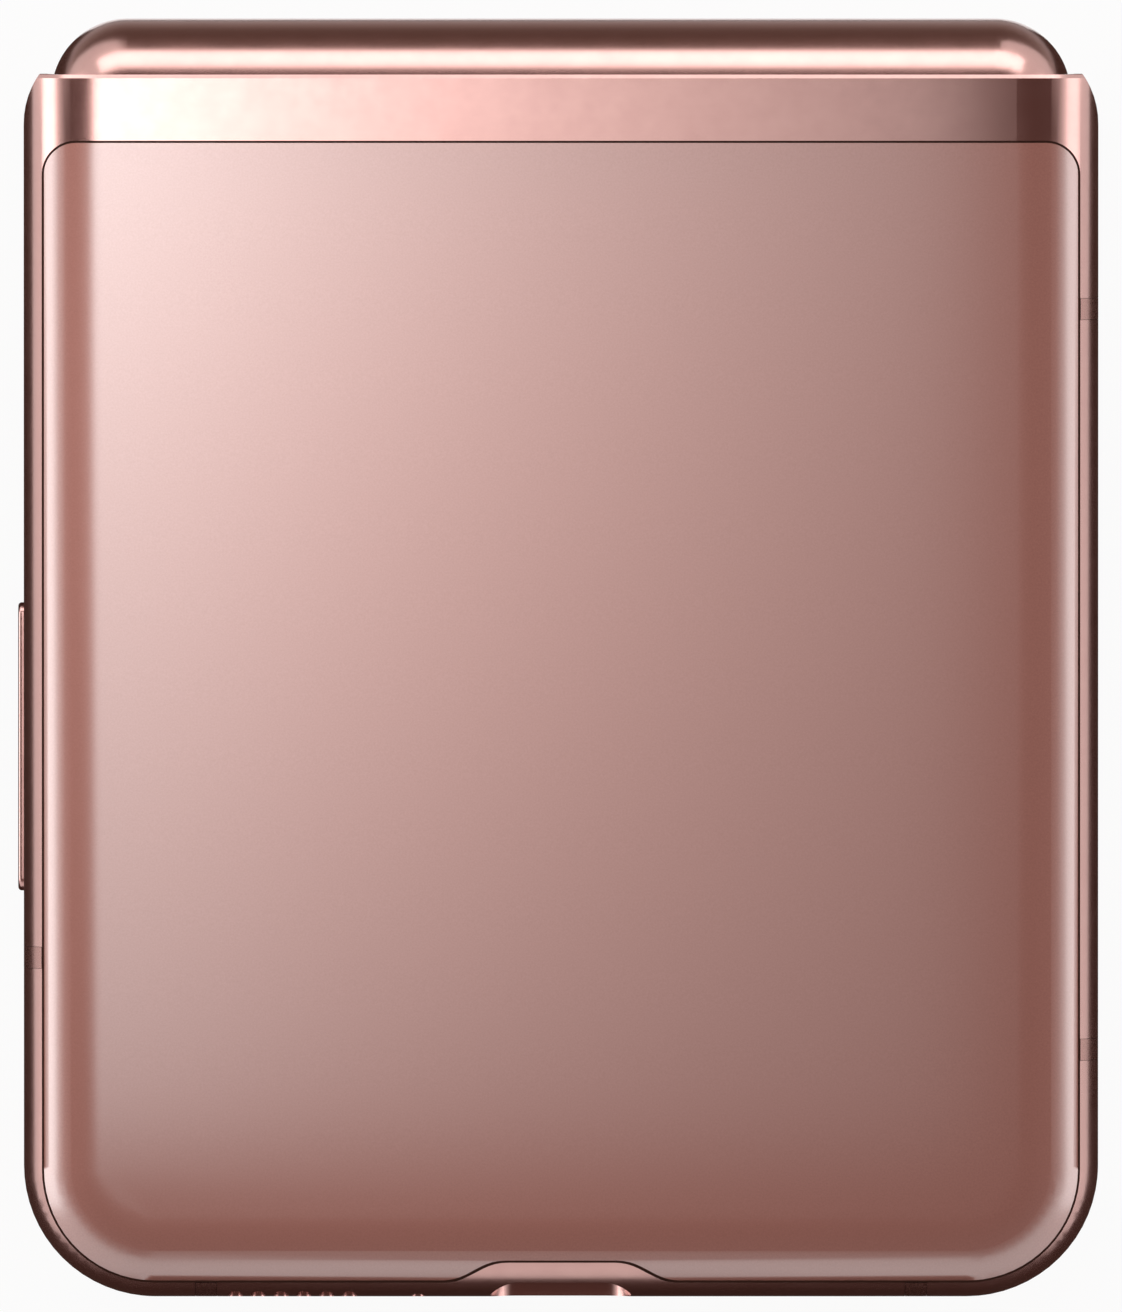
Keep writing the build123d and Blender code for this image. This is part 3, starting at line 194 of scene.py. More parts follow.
# ---------------------------------------------------------------- finishes
@dataclass(frozen=True)
class Finish:
    """A plain shader with one colour; every other finish adds its own grain to it."""

    name: str
    colour: str
    metallic: float = 0.0
    roughness: float = 0.5
    coat: float = 0.0
    coat_roughness: float = 0.05
    coat_index: float = 1.5
    specular: float = 0.5

    def make(self) -> bpy.types.Material:
        """Build the material.

        Returns:
            The material with its grain in place.
        """
        material = bpy.data.materials.new(self.name)
        material.use_nodes = True
        material.diffuse_color = linear(self.colour)
        tree = material.node_tree
        shader = tree.nodes["Principled BSDF"]
        shader.inputs["Base Color"].default_value = linear(self.colour)
        shader.inputs["Metallic"].default_value = self.metallic
        shader.inputs["Roughness"].default_value = self.roughness
        shader.inputs["Specular IOR Level"].default_value = self.specular
        shader.inputs["Coat Weight"].default_value = self.coat
        shader.inputs["Coat Roughness"].default_value = self.coat_roughness
        shader.inputs["Coat IOR"].default_value = self.coat_index
        self.grain(tree, shader)
        return material

    def grain(self, tree: bpy.types.NodeTree, shader: bpy.types.Node) -> None:
        """Add the finish's own pattern; the plain one has none.

        Args:
            tree: the material's node tree.
            shader: its Principled shader.
        """

    def place(self, tree: bpy.types.NodeTree, stretch: tuple[float, float, float]) -> bpy.types.NodeSocket:
        """Read object coordinates, stretched along an axis for a drawn or brushed grain.

        Args:
            tree: the material's node tree.
            stretch: the factor for each axis; below 1 draws the pattern out along it.

        Returns:
            The vector to feed a texture with.
        """
        where = add_node(tree, "TexCoord", {})
        mapped = add_node(tree, "Mapping", {"Scale": stretch}, {"Vector": where.outputs["Object"]})
        return mapped.outputs["Vector"]

    def blend_colours(
        self, tree: bpy.types.NodeTree, shader: bpy.types.Node, share: bpy.types.NodeSocket, other: str
    ) -> None:
        """Run the base colour between this finish's own colour and another.

        Args:
            tree: the material's node tree.
            shader: its Principled shader.
            share: 0 for the finish's own colour, 1 for the other.
            other: the other colour, as sRGB hex.
        """
        tree.links.new(mix_colours(tree, share, self.colour, other), shader.inputs["Base Color"])

    def raise_by(
        self, tree: bpy.types.NodeTree, shader: bpy.types.Node, height: bpy.types.NodeSocket, depth: float
    ) -> None:
        """Lift the surface by a pattern.

        Args:
            tree: the material's node tree.
            shader: its Principled shader.
            height: the pattern, from 0 to 1.
            depth: how far it lifts, in millimetres.
        """
        bump = add_node(tree, "Bump", {"Strength": 1.0, "Distance": depth * MM}, {"Height": height})
        tree.links.new(bump.outputs["Normal"], shader.inputs["Normal"])


@dataclass(frozen=True)
class GrainedFinish(Finish):
    """A surface with a fine even grain: it varies the gloss, the colour and the height a little."""

    other: str = "808080"
    grain_size: float = 0.3
    depth: float = 0.002
    gloss_range: float = 0.05
    stretch: tuple[float, float, float] = (1.0, 1.0, 1.0)
    detail: float = 3.0

    def grain(self, tree: bpy.types.NodeTree, shader: bpy.types.Node) -> None:
        """Vary gloss, colour and height with one noise.

        Args:
            tree: the material's node tree.
            shader: its Principled shader.
        """
        vector = self.place(tree, self.stretch)
        noise = add_node(
            tree, "TexNoise", {"Scale": per_mm(self.grain_size), "Detail": self.detail}, {"Vector": vector}
        )
        gloss_span = (self.roughness - self.gloss_range, self.roughness + self.gloss_range)
        gloss = grade(tree, noise.outputs["Fac"], NOISE_SPAN, gloss_span)
        tree.links.new(gloss, shader.inputs["Roughness"])
        self.blend_colours(tree, shader, noise.outputs["Fac"], self.other)
        self.raise_by(tree, shader, noise.outputs["Fac"], self.depth)


class Plane(Enum):
    """The two axes that a woven or printed pattern lies along."""

    FLAT = (0, 1)
    UPRIGHT = (0, 2)


@dataclass(frozen=True)
class WovenMesh(Finish):
    """Fine wire cloth: two sets of threads over and under each other, dark where they leave a hole."""

    hole: str = "050505"
    thread_spacing: float = 0.18
    thread_height: float = 0.03
    thread_edge: tuple[float, float] = (0.25, 0.55)
    plane: Plane = Plane.FLAT

    def grain(self, tree: bpy.types.NodeTree, shader: bpy.types.Node) -> None:
        """Draw the threads from two crossing waves.

        Args:
            tree: the material's node tree.
            shader: its Principled shader.
        """
        vector = self.place(tree, (1.0, 1.0, 1.0))
        names = ("X", "Y", "Z")
        threads = [
            add_node(
                tree,
                "TexWave",
                {"bands_direction": names[axis], "Scale": per_mm(self.thread_spacing) / BANDS_PER_UNIT},
                {"Vector": vector},
            ).outputs["Fac"]
            for axis in self.plane.value
        ]
        height = add_node(tree, "Math", {"operation": "MAXIMUM"}, {0: threads[0], 1: threads[1]})
        gap = grade(tree, height.outputs["Value"], self.thread_edge, (1.0, 0.0))
        self.blend_colours(tree, shader, gap, self.hole)
        self.raise_by(tree, shader, height.outputs["Value"], self.thread_height)


@dataclass(frozen=True)
class CrackedSheet(Finish):
    """Ferrite sheet, which is broken into small tiles under its film so that it can bend."""

    line: str = "101012"
    tile: float = 2.0
    tile_height: float = 0.01
    crack: float = 0.06

    def grain(self, tree: bpy.types.NodeTree, shader: bpy.types.Node) -> None:
        """Draw the cracks between the tiles.

        Args:
            tree: the material's node tree.
            shader: its Principled shader.
        """
        vector = self.place(tree, (1.0, 1.0, 1.0))
        cracks = add_node(
            tree,
            "TexVoronoi",
            {"feature": "DISTANCE_TO_EDGE", "Scale": per_mm(self.tile)},
            {"Vector": vector},
        )
        line = grade(tree, cracks.outputs["Distance"], (0.0, self.crack), (1.0, 0.0))
        self.blend_colours(tree, shader, line, self.line)
        self.raise_by(tree, shader, cracks.outputs["Distance"], self.tile_height)


@dataclass(frozen=True)
class PrintedBoard(Finish):
    """Glass-epoxy board under solder mask: copper runs show as lighter lines, pads as bare gold."""

    run: str = "1f5a44"
    pad: str = "c8a24a"
    cell: float = 1.6
    run_pitch: float = 0.12
    run_edge: tuple[float, float] = (0.03, 0.07)
    run_height: float = 0.02
    pad_cell: float = 1.28
    pad_edge: tuple[float, float] = (0.14, 0.17)

    def grain(self, tree: bpy.types.NodeTree, shader: bpy.types.Node) -> None:
        """Draw square-cornered runs and round pads from cell patterns.

        Args:
            tree: the material's node tree.
            shader: its Principled shader.
        """
        vector = self.place(tree, (1.0, 1.0, 0.0))
        runs = add_node(
            tree,
            "TexVoronoi",
            {"feature": "F1", "distance": "CHEBYCHEV", "Scale": per_mm(self.cell)},
            {"Vector": vector},
        )
        rings = add_node(
            tree, "Math", {"operation": "PINGPONG", 1: self.run_pitch}, {0: runs.outputs["Distance"]}
        )
        edge = grade(tree, rings.outputs["Value"], self.run_edge)
        spots = add_node(
            tree, "TexVoronoi", {"feature": "F1", "Scale": per_mm(self.pad_cell)}, {"Vector": vector}
        )
        pad = grade(tree, spots.outputs["Distance"], self.pad_edge, (1.0, 0.0))
        under = mix_colours(tree, edge, self.colour, self.run)
        tree.links.new(mix_colours(tree, pad, under, self.pad), shader.inputs["Base Color"])
        tree.links.new(pad, shader.inputs["Metallic"])
        self.raise_by(tree, shader, edge, self.run_height)


@dataclass(frozen=True)
class ReflectionToneCard(Finish):
    """Paper card painted in tones that follow one another over a length of Y: painted reflection brightness,
    the light and shade that the metal shows of the room.
    """

    start: float = 0.0
    length: float = 50.0 * MM
    fade: tuple[tuple[float, str], ...] = ((0.0, "000000"), (1.0, "000000"))

    def grain(self, tree: bpy.types.NodeTree, shader: bpy.types.Node) -> None:
        """Paint the card along Y from one painted reflection tone to the next.

        Args:
            tree: the material's node tree.
            shader: its Principled shader.
        """
        where = add_node(tree, "TexCoord", {})
        parts = add_node(tree, "SeparateXYZ", {}, {0: where.outputs["Object"]})
        share = grade(tree, parts.outputs["Y"], (self.start, self.start + self.length))
        tree.links.new(pick_tone(tree, share, self.fade), shader.inputs["Base Color"])


@dataclass(frozen=True)
class ClearGlass(Finish):
    """Polished clear glass; a faint film of handling shows only as uneven gloss."""

    index: float = 1.5
    film: float = 0.0
    smear: float = 4.0
    detail: float = 4.0
    smear_span: tuple[float, float] = (0.45, 0.75)
    smear_dulling: float = 0.05

    def grain(self, tree: bpy.types.NodeTree, shader: bpy.types.Node) -> None:
        """Let light through and break the gloss up a little.

        Args:
            tree: the material's node tree.
            shader: its Principled shader.
        """
        shader.inputs["Transmission Weight"].default_value = 1.0
        shader.inputs["IOR"].default_value = self.index
        shader.inputs["Thin Film Thickness"].default_value = self.film
        vector = self.place(tree, (1.0, 1.0, 1.0))
        noise = add_node(
            tree, "TexNoise", {"Scale": per_mm(self.smear), "Detail": self.detail}, {"Vector": vector}
        )
        gloss_span = (self.roughness, self.roughness + self.smear_dulling)
        gloss = grade(tree, noise.outputs["Fac"], self.smear_span, gloss_span)
        tree.links.new(gloss, shader.inputs["Roughness"])


# Anodised aluminium, polished before the bronze dye: mirror-like, tinted warm pink, with the faintest
# waviness left by the polishing wheel.
POLISHED_BRONZE = GrainedFinish(
    name="bronze_anodised_polished",
    colour="c79991",
    other="bf8f88",
    metallic=1.0,
    roughness=0.24,
    coat=1.0,
    coat_roughness=0.2,
    coat_index=1.65,
    grain_size=1.5,
    depth=0.0006,
    gloss_range=0.02,
)
# The spine is the same metal with a slightly deeper polish, because fingers keep it bright.
SPINE_BRONZE = GrainedFinish(
    name="bronze_anodised_spine",
    colour="c7988f",
    other="bf8e87",
    metallic=1.0,
    roughness=0.22,
    coat=1.0,
    coat_roughness=0.2,
    coat_index=1.65,
    grain_size=2.0,
    depth=0.0005,
    gloss_range=0.02,
)
# Toughened glass, etched matt outside over a bronze metal film: a soft metallic sheen with a dry
# surface. The etch is some 20 micrometres across and is drawn 0.12 mm wide so that it shows.
SATIN_GLASS = GrainedFinish(
    name="bronze_etched_glass",
    colour="b0766a",
    other="a76e62",
    metallic=0.9,
    roughness=0.7,
    coat=1.0,
    coat_roughness=0.26,
    coat_index=2.6,
    grain_size=0.12,
    depth=0.0006,
    gloss_range=0.03,
    detail=2.0,
)
# Glass-filled polymer under a metallic lacquer, matched to the frame: it shines with the metal beside
# it, a shade deeper and with a fine grain showing through.
BREAK_PLASTIC = GrainedFinish(
    name="lacquered_polymer_break",
    colour="b1827a",
    other="a97b73",
    metallic=1.0,
    roughness=0.27,
    coat=1.0,
    coat_roughness=0.22,
    coat_index=1.55,
    grain_size=0.15,
    depth=0.0004,
)
# Thermoplastic urethane, moulded: soft black with a fine spark-eroded texture.
BEZEL_PLASTIC = GrainedFinish(
    name="urethane_bezel",
    colour="151314",
    other="1c1a1b",
    roughness=0.55,
    grain_size=0.12,
    depth=0.004,
)
# Polymer-covered foldable display, switched off: deep black, glossy, very slightly wavy.
DISPLAY_FILM = GrainedFinish(
    name="display_polymer_film",
    colour="07070a",
    other="0a0a0e",
    roughness=0.08,
    coat=1.0,
    coat_roughness=0.03,
    grain_size=3.0,
    depth=0.0012,
    gloss_range=0.02,
    detail=1.0,
)
# Float glass printed black on its inner face: a hard, dark mirror.
BLACK_GLASS = GrainedFinish(
    name="black_printed_glass",
    colour="050507",
    other="08080a",
    roughness=0.05,
    coat=1.0,
    coat_roughness=0.02,
    grain_size=6.0,
    depth=0.0003,
    gloss_range=0.015,
)
# Silicone rubber, moulded: charcoal, matt, with a dusty bloom.
RUBBER = GrainedFinish(
    name="silicone_rubber",
    colour="2b292a",
    other="383536",
    roughness=0.75,
    grain_size=0.25,
    depth=0.006,
)
# Elastic adhesive, cured in the gap: dark brown, dull, faintly lumpy.
SEALANT = GrainedFinish(
    name="elastic_sealant",
    colour="38211a",
    other="402820",
    roughness=0.8,
    specular=0.05,
    grain_size=0.4,
    depth=0.004,
)
# Stainless steel, metal-injection moulded and tumbled: pale grey, softly pitted.
SINTERED_STEEL = GrainedFinish(
    name="steel_sintered",
    colour="aaa6a0",
    other="8f8b86",
    metallic=1.0,
    roughness=0.34,
    grain_size=0.15,
    depth=0.004,
)
# Stainless strip, rolled and stamped: fine lines along the rolling direction.
ROLLED_STEEL = GrainedFinish(
    name="steel_rolled",
    colour="b7b4af",
    other="a19e99",
    metallic=1.0,
    roughness=0.28,
    grain_size=0.1,
    depth=0.002,
    stretch=(0.04, 1.0, 1.0),
)
# Carbon steel, turned and ground: brighter, with fine lines round the shaft.
TURNED_STEEL = GrainedFinish(
    name="steel_turned",
    colour="bfbcb8",
    other="a9a6a1",
    metallic=1.0,
    roughness=0.22,
    grain_size=0.08,
    depth=0.0015,
    stretch=(1.0, 0.1, 0.1),
)
# Glass-filled nylon, moulded: near black, matt, with a sparkle of fibre ends.
MOULDED_NYLON = GrainedFinish(
    name="nylon_moulded_black",
    colour="1a1a1c",
    other="262629",
    roughness=0.5,
    grain_size=0.12,
    depth=0.005,
)
# Anodised aluminium ring, turned: the frame's bronze with fine lathe lines.
TURNED_BRONZE = GrainedFinish(
    name="bronze_anodised_turned",
    colour="c28a7a",
    other="b47c6d",
    metallic=1.0,
    roughness=0.2,
    grain_size=0.15,
    depth=0.0012,
    gloss_range=0.04,
)
# Coated optical glass: almost black from outside with a violet-green sheen from its coating.
LENS_GLASS = ClearGlass(name="lens_coated_glass", colour="e8ecf5", roughness=0.0, index=1.6, film=430.0)
# Chemically toughened glass over the cameras: clear, hard and clean.
WINDOW_GLASS = ClearGlass(name="camera_window_glass", colour="f4f6f6", roughness=0.0, index=1.51)
# Acrylic over a phosphor chip: milky yellow with a ribbed lens behind it.
FLASH_ACRYLIC = GrainedFinish(
    name="flash_acrylic",
    colour="efe3bd",
    other="e2cf94",
    roughness=0.22,
    coat=0.6,
    coat_roughness=0.08,
    grain_size=0.5,
    depth=0.02,
)
# Glass-epoxy laminate under a dark green solder mask, satin.
BOARD = PrintedBoard(name="board_solder_mask", colour="123a2d", roughness=0.38)
# Aluminium-laminated pouch under a matt black wrap, lightly creased.
CELL_WRAP = GrainedFinish(
    name="cell_pouch_wrap",
    colour="202124",
    other="2c2d31",
    metallic=0.3,
    roughness=0.42,
    grain_size=5.0,
    depth=0.08,
)
# Sintered ferrite under clear film: dark grey tiles.
FERRITE = CrackedSheet(name="ferrite_sheet", colour="2e2d2f", roughness=0.55)
# Enamelled copper wire, wound flat: warm orange metal under clear varnish.
COPPER_WIRE = GrainedFinish(
    name="copper_enamelled",
    colour="c0703f",
    other="a85c30",
    metallic=1.0,
    roughness=0.26,
    coat=0.5,
    coat_roughness=0.1,
    grain_size=0.3,
    depth=0.003,
)
# Gold flash over nickel, as contacts have: bright yellow, smooth.
CONTACT_GOLD = GrainedFinish(
    name="contact_gold_plate",
    colour="dcb765",
    other="cfa652",
    metallic=1.0,
    roughness=0.2,
    grain_size=0.1,
    depth=0.0005,
)
# Woven stainless wire, blackened, that keeps dust out of the sound slots.
SOUND_MESH = WovenMesh(
    name="wire_mesh_speaker", colour="6e6a68", metallic=1.0, roughness=0.4, plane=Plane.UPRIGHT
)
EARPIECE_MESH = WovenMesh(name="wire_mesh_earpiece", colour="3a3839", metallic=1.0, roughness=0.45)
# Backdrop paper: matt white, with hardly any tooth.
TABLE_PAPER = GrainedFinish(
    name="table_paper",
    colour="f4f3f1",
    other="f6f5f3",
    roughness=0.9,
    specular=0.1,
    grain_size=0.5,
    depth=0.001,
)


# ---------------------------------------------------------------- building helpers
def dress(nodes: dict[str, bpy.types.Object], finish: bpy.types.Material, *names: str) -> None:
    """Give carried-over solids their finish.

    Args:
        nodes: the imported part's solids by name.
        finish: the material that they take.
        names: the solids.
    """
    for name in names:
        slots = nodes[name].data.materials
        for at in range(len(slots)):
            slots[at] = finish
    LOG.info("dressed %s as %s", ", ".join(names), finish.name)


def finished_piece(name: str, shape: bmesh.types.BMesh, finish: bpy.types.Material) -> bpy.types.Object:
    """Turn a finished shape into an object at the origin, shaded smooth up to the crease angle.

    Args:
        name: the piece's name.
        shape: its geometry, in place; it is freed.
        finish: its material.

    Returns:
        The new object.
    """
    mesh = bpy.data.meshes.new(name)
    shape.to_mesh(mesh)
    shape.free()
    mesh.materials.append(finish)
    piece = bpy.data.objects.new(name, mesh)
    bpy.context.scene.collection.objects.link(piece)
    mesh.shade_smooth()
    mesh.set_sharp_from_angle(angle=CREASE)
    return piece


def welded_copy(solid: bpy.types.Object, gap: float) -> bmesh.types.BMesh:
    """Copy a solid's geometry as one skin, with its normals outward.

    Args:
        solid: what is copied; it stays as it is.
        gap: corners closer than this become one.

    Returns:
        The copy.
    """
    shape = bmesh.new()
    shape.from_mesh(solid.data)
    bmesh.ops.remove_doubles(shape, verts=shape.verts, dist=gap)
    bmesh.ops.recalc_face_normals(shape, faces=shape.faces)
    return shape


@dataclass
class HalfFrame:
    """The frame of one half: its hinge axis and its directions towards the far end and the back."""

    axis: Vector
    turn: float
    across: float

    @property
    def matrix(self) -> Matrix:
        """Place a half's own x (across), y (to the far end) and z (to the back) in the part's frame."""
        far = Vector((0, -math.cos(self.turn), -math.sin(self.turn)))
        across = Vector((self.across, 0, 0))
        back = across.cross(far)
        return Matrix.Translation(self.axis) @ Matrix((across, far, back)).transposed().to_4x4()


# ---------------------------------------------------------------- sub-assemblies
@dataclass
class PolishedSkin:
    """A solid's own skin, shaded without a break from its flats into its rounded edges."""

    node: bpy.types.Object
    body: str
    weld: float = 0.0005 * MM

    def build(self) -> bpy.types.Object:
        """Copy the solid with its finish, even out its shading and let the copy stand in for it.

        Returns:
            The copy.
        """
        shape = welded_copy(self.node, self.weld)
        skin = finished_piece(self.node.name + "_skin", shape, self.node.data.materials[0])
        even = skin.modifiers.new("even_shading", "WEIGHTED_NORMAL")
        even.keep_sharp = True
        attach(skin, self.body)
        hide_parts(self.node.name)
        return skin


@dataclass
class GlassSeal:
    """The dark adhesive bead that fills the gap between a back glass and its metal tub."""

    name: str
    body: str
    glass: bpy.types.Object
    half: HalfFrame
    width: float = 0.14 * MM
    sink: float = 0.04 * MM
    upright: float = 0.2
    weld: float = 0.002 * MM

    def build(self) -> bpy.types.Object:
        """Take the glass's outer wall, thicken it outwards and sink it just below the surface.

        Returns:
            The seal.
        """
        back = self.half.matrix.to_3x3() @ Vector((0, 0, 1))
        shape = welded_copy(self.glass, self.weld)
        level = [f for f in shape.faces if abs(f.normal.dot(back)) > self.upright]
        bmesh.ops.delete(shape, geom=level, context="FACES")
        self.keep_widest(shape)
        bmesh.ops.solidify(shape, geom=shape.faces, thickness=-self.width)
        bmesh.ops.translate(shape, vec=-self.sink * back, verts=shape.verts)
        bmesh.ops.recalc_face_normals(shape, faces=shape.faces)
        seal = finished_piece(self.name, shape, SEALANT.make())
        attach(seal, self.body)
        LOG.info("%s rides %s", self.name, self.body)
        return seal

    def keep_widest(self, shape: bmesh.types.BMesh) -> None:
        """Delete every connected wall but the widest, which is the one round the outside.

        Args:
            shape: the walls of the glass and of its holes.
        """
        left = set(shape.verts)
        groups = []
        while left:
            group = {left.pop()}
            front = list(group)
            while front:
                corner = front.pop()
                for edge in corner.link_edges:
                    other = edge.other_vert(corner)
                    if other in left:
                        left.remove(other)
                        group.add(other)
                        front.append(other)
            groups.append(group)
        groups.sort(key=lambda g: max(v.co.x for v in g) - min(v.co.x for v in g))
        doomed = [v for group in groups[:-1] for v in group]
        bmesh.ops.delete(shape, geom=doomed, context="VERTS")


@dataclass
class CameraHalf:
    """The half that lies below: its tub, back, screen, keys, tray and what it holds."""

    nodes: dict[str, bpy.types.Object]
    half: HalfFrame

    def dress_all(self) -> None:
        """Give every solid of this half its finish."""
        nodes = self.nodes
        GlassSeal("back_seal_camera", "upper_half", nodes["upper_glass"], self.half).build()
        dress(nodes, POLISHED_BRONZE.make(), "upper_frame", "volume_key", "power_key", "card_tray")
        dress(nodes, SATIN_GLASS.make(), "upper_glass")
        PolishedSkin(nodes["upper_glass"], "upper_half").build()
        dress(nodes, BREAK_PLASTIC.make(), "upper_breaks")
        dress(nodes, BEZEL_PLASTIC.make(), "upper_bezel")
        dress(nodes, EARPIECE_MESH.make(), "earpiece_mesh")
        dress(nodes, DISPLAY_FILM.make(), "upper_panel")
        dress(nodes, ROLLED_STEEL.make(), "upper_wing", "shield_cans", "card_reader")
        dress(nodes, RUBBER.make(), "upper_bumpers")
        dress(nodes, CELL_WRAP.make(), "upper_cell")
        dress(nodes, BOARD.make(), "main_board", "key_switches")
        dress(nodes, MOULDED_NYLON.make(), "front_camera", "receiver")


@dataclass
class CameraCluster:
    """The two cameras, the flash and the small outer display, set in the back of the camera half."""

    nodes: dict[str, bpy.types.Object]

    def dress_all(self) -> None:
        """Give the rings, windows, lenses and the display their finishes."""
        nodes = self.nodes
        dress(nodes, TURNED_BRONZE.make(), "camera_rings")
        dress(nodes, WINDOW_GLASS.make(), "camera_windows")
        dress(nodes, MOULDED_NYLON.make(), "camera_modules")
        dress(nodes, LENS_GLASS.make(), "camera_lenses")
        dress(nodes, FLASH_ACRYLIC.make(), "flash_lens")
        dress(nodes, BLACK_GLASS.make(), "cover_window")
        dress(nodes, DISPLAY_FILM.make(), "cover_screen")


@dataclass
class PlainHalf:
    """The half on top: its tub, back, screen and what it holds."""

    nodes: dict[str, bpy.types.Object]
    half: HalfFrame

    def dress_all(self) -> None:
        """Give every solid of this half its finish."""
        nodes = self.nodes
        GlassSeal("back_seal_plain", "lower_half", nodes["lower_glass"], self.half).build()
        dress(nodes, POLISHED_BRONZE.make(), "lower_frame")
        dress(nodes, SATIN_GLASS.make(), "lower_glass")
        PolishedSkin(nodes["lower_glass"], "lower_half").build()
        dress(nodes, BREAK_PLASTIC.make(), "lower_breaks")
        dress(nodes, BEZEL_PLASTIC.make(), "lower_bezel")
        dress(nodes, DISPLAY_FILM.make(), "lower_panel")
        dress(nodes, ROLLED_STEEL.make(), "lower_wing", "vibration_motor")
        dress(nodes, RUBBER.make(), "lower_bumpers")
        dress(nodes, CELL_WRAP.make(), "lower_cell")
        dress(nodes, FERRITE.make(), "coil_sheet")
        dress(nodes, COPPER_WIRE.make(), "charging_coil")
        dress(nodes, BOARD.make(), "charge_board")
        dress(nodes, MOULDED_NYLON.make(), "speaker")
        dress(nodes, SOUND_MESH.make(), "speaker_mesh")


@dataclass
class ChargingSocket:
    """The socket in the plain half's far end, with the gold contacts on both faces of its tongue."""

    nodes: dict[str, bpy.types.Object]
    half: HalfFrame
    contact_count: int = 12
    contact_pitch: float = 0.5 * MM
    contact_width: float = 0.26 * MM
    contact_length: float = 3.2 * MM
    contact_height: float = 0.04 * MM
    contact_round: float = 0.015 * MM
    tongue_height: float = 0.7 * MM
    tongue_depth: float = 2.95 * MM
    tongue_tip: float = 79.5 * MM
    tip_margin: float = 0.45 * MM

    def build(self) -> None:
        """Dress the shell and the tongue and set the contacts in place."""
        dress(self.nodes, TURNED_STEEL.make(), "socket_shell")
        dress(self.nodes, MOULDED_NYLON.make(), "socket_tongue")
        shape = bmesh.new()
        for face in (-1, 1):
            for at in range(self.contact_count):
                self.add_contact(shape, at, face)
        shape.transform(self.half.matrix)
        bmesh.ops.recalc_face_normals(shape, faces=shape.faces)
        contacts = finished_piece("socket_contacts", shape, CONTACT_GOLD.make())
        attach(contacts, "lower_half")
        LOG.info("socket_contacts: %d", 2 * self.contact_count)

    def add_contact(self, shape: bmesh.types.BMesh, at: int, face: int) -> None:
        """Add one contact strip, with its upper edges eased.

        Args:
            shape: what it is added to, in the half's own frame.
            at: its number along the tongue.
            face: 1 for the tongue's back face, -1 for the other.
        """
        made = bmesh.ops.create_cube(shape, size=1.0)["verts"]
        size = Vector((self.contact_width, self.contact_length, self.contact_height))
        bmesh.ops.scale(shape, vec=size, verts=made)
        place = Vector(
            (
                (at - (self.contact_count - 1) / 2) * self.contact_pitch,
                self.tongue_tip - self.tip_margin - self.contact_length / 2,
                self.tongue_depth + face * (self.tongue_height + self.contact_height) / 2,
            )
        )
        bmesh.ops.translate(shape, vec=place, verts=made)
        edges = list({e for v in made for e in v.link_edges})
        bmesh.ops.bevel(
            shape,
            geom=edges,
            offset=self.contact_round,
            segments=2,
            profile=0.5,
            affect="EDGES",
            material=-1,
        )


@dataclass
class Hinge:
    """The spine, its brackets and supports, the arms of both halves and the wheels between them."""

    nodes: dict[str, bpy.types.Object]

    def dress_all(self) -> None:
        """Give every solid of the hinge its finish."""
        nodes = self.nodes
        dress(nodes, SPINE_BRONZE.make(), "spine_cover")
        dress(nodes, SINTERED_STEEL.make(), "hinge_brackets", "upper_arms", "lower_arms")
        dress(nodes, ROLLED_STEEL.make(), "fold_support", "shaft_supports", "spring_discs")
        turned = TURNED_STEEL.make()
        dress(nodes, turned, "upper_pinions", "lower_pinions", "upper_idlers", "lower_idlers")
        dress(nodes, turned, "upper_arm_screws", "lower_arm_screws")


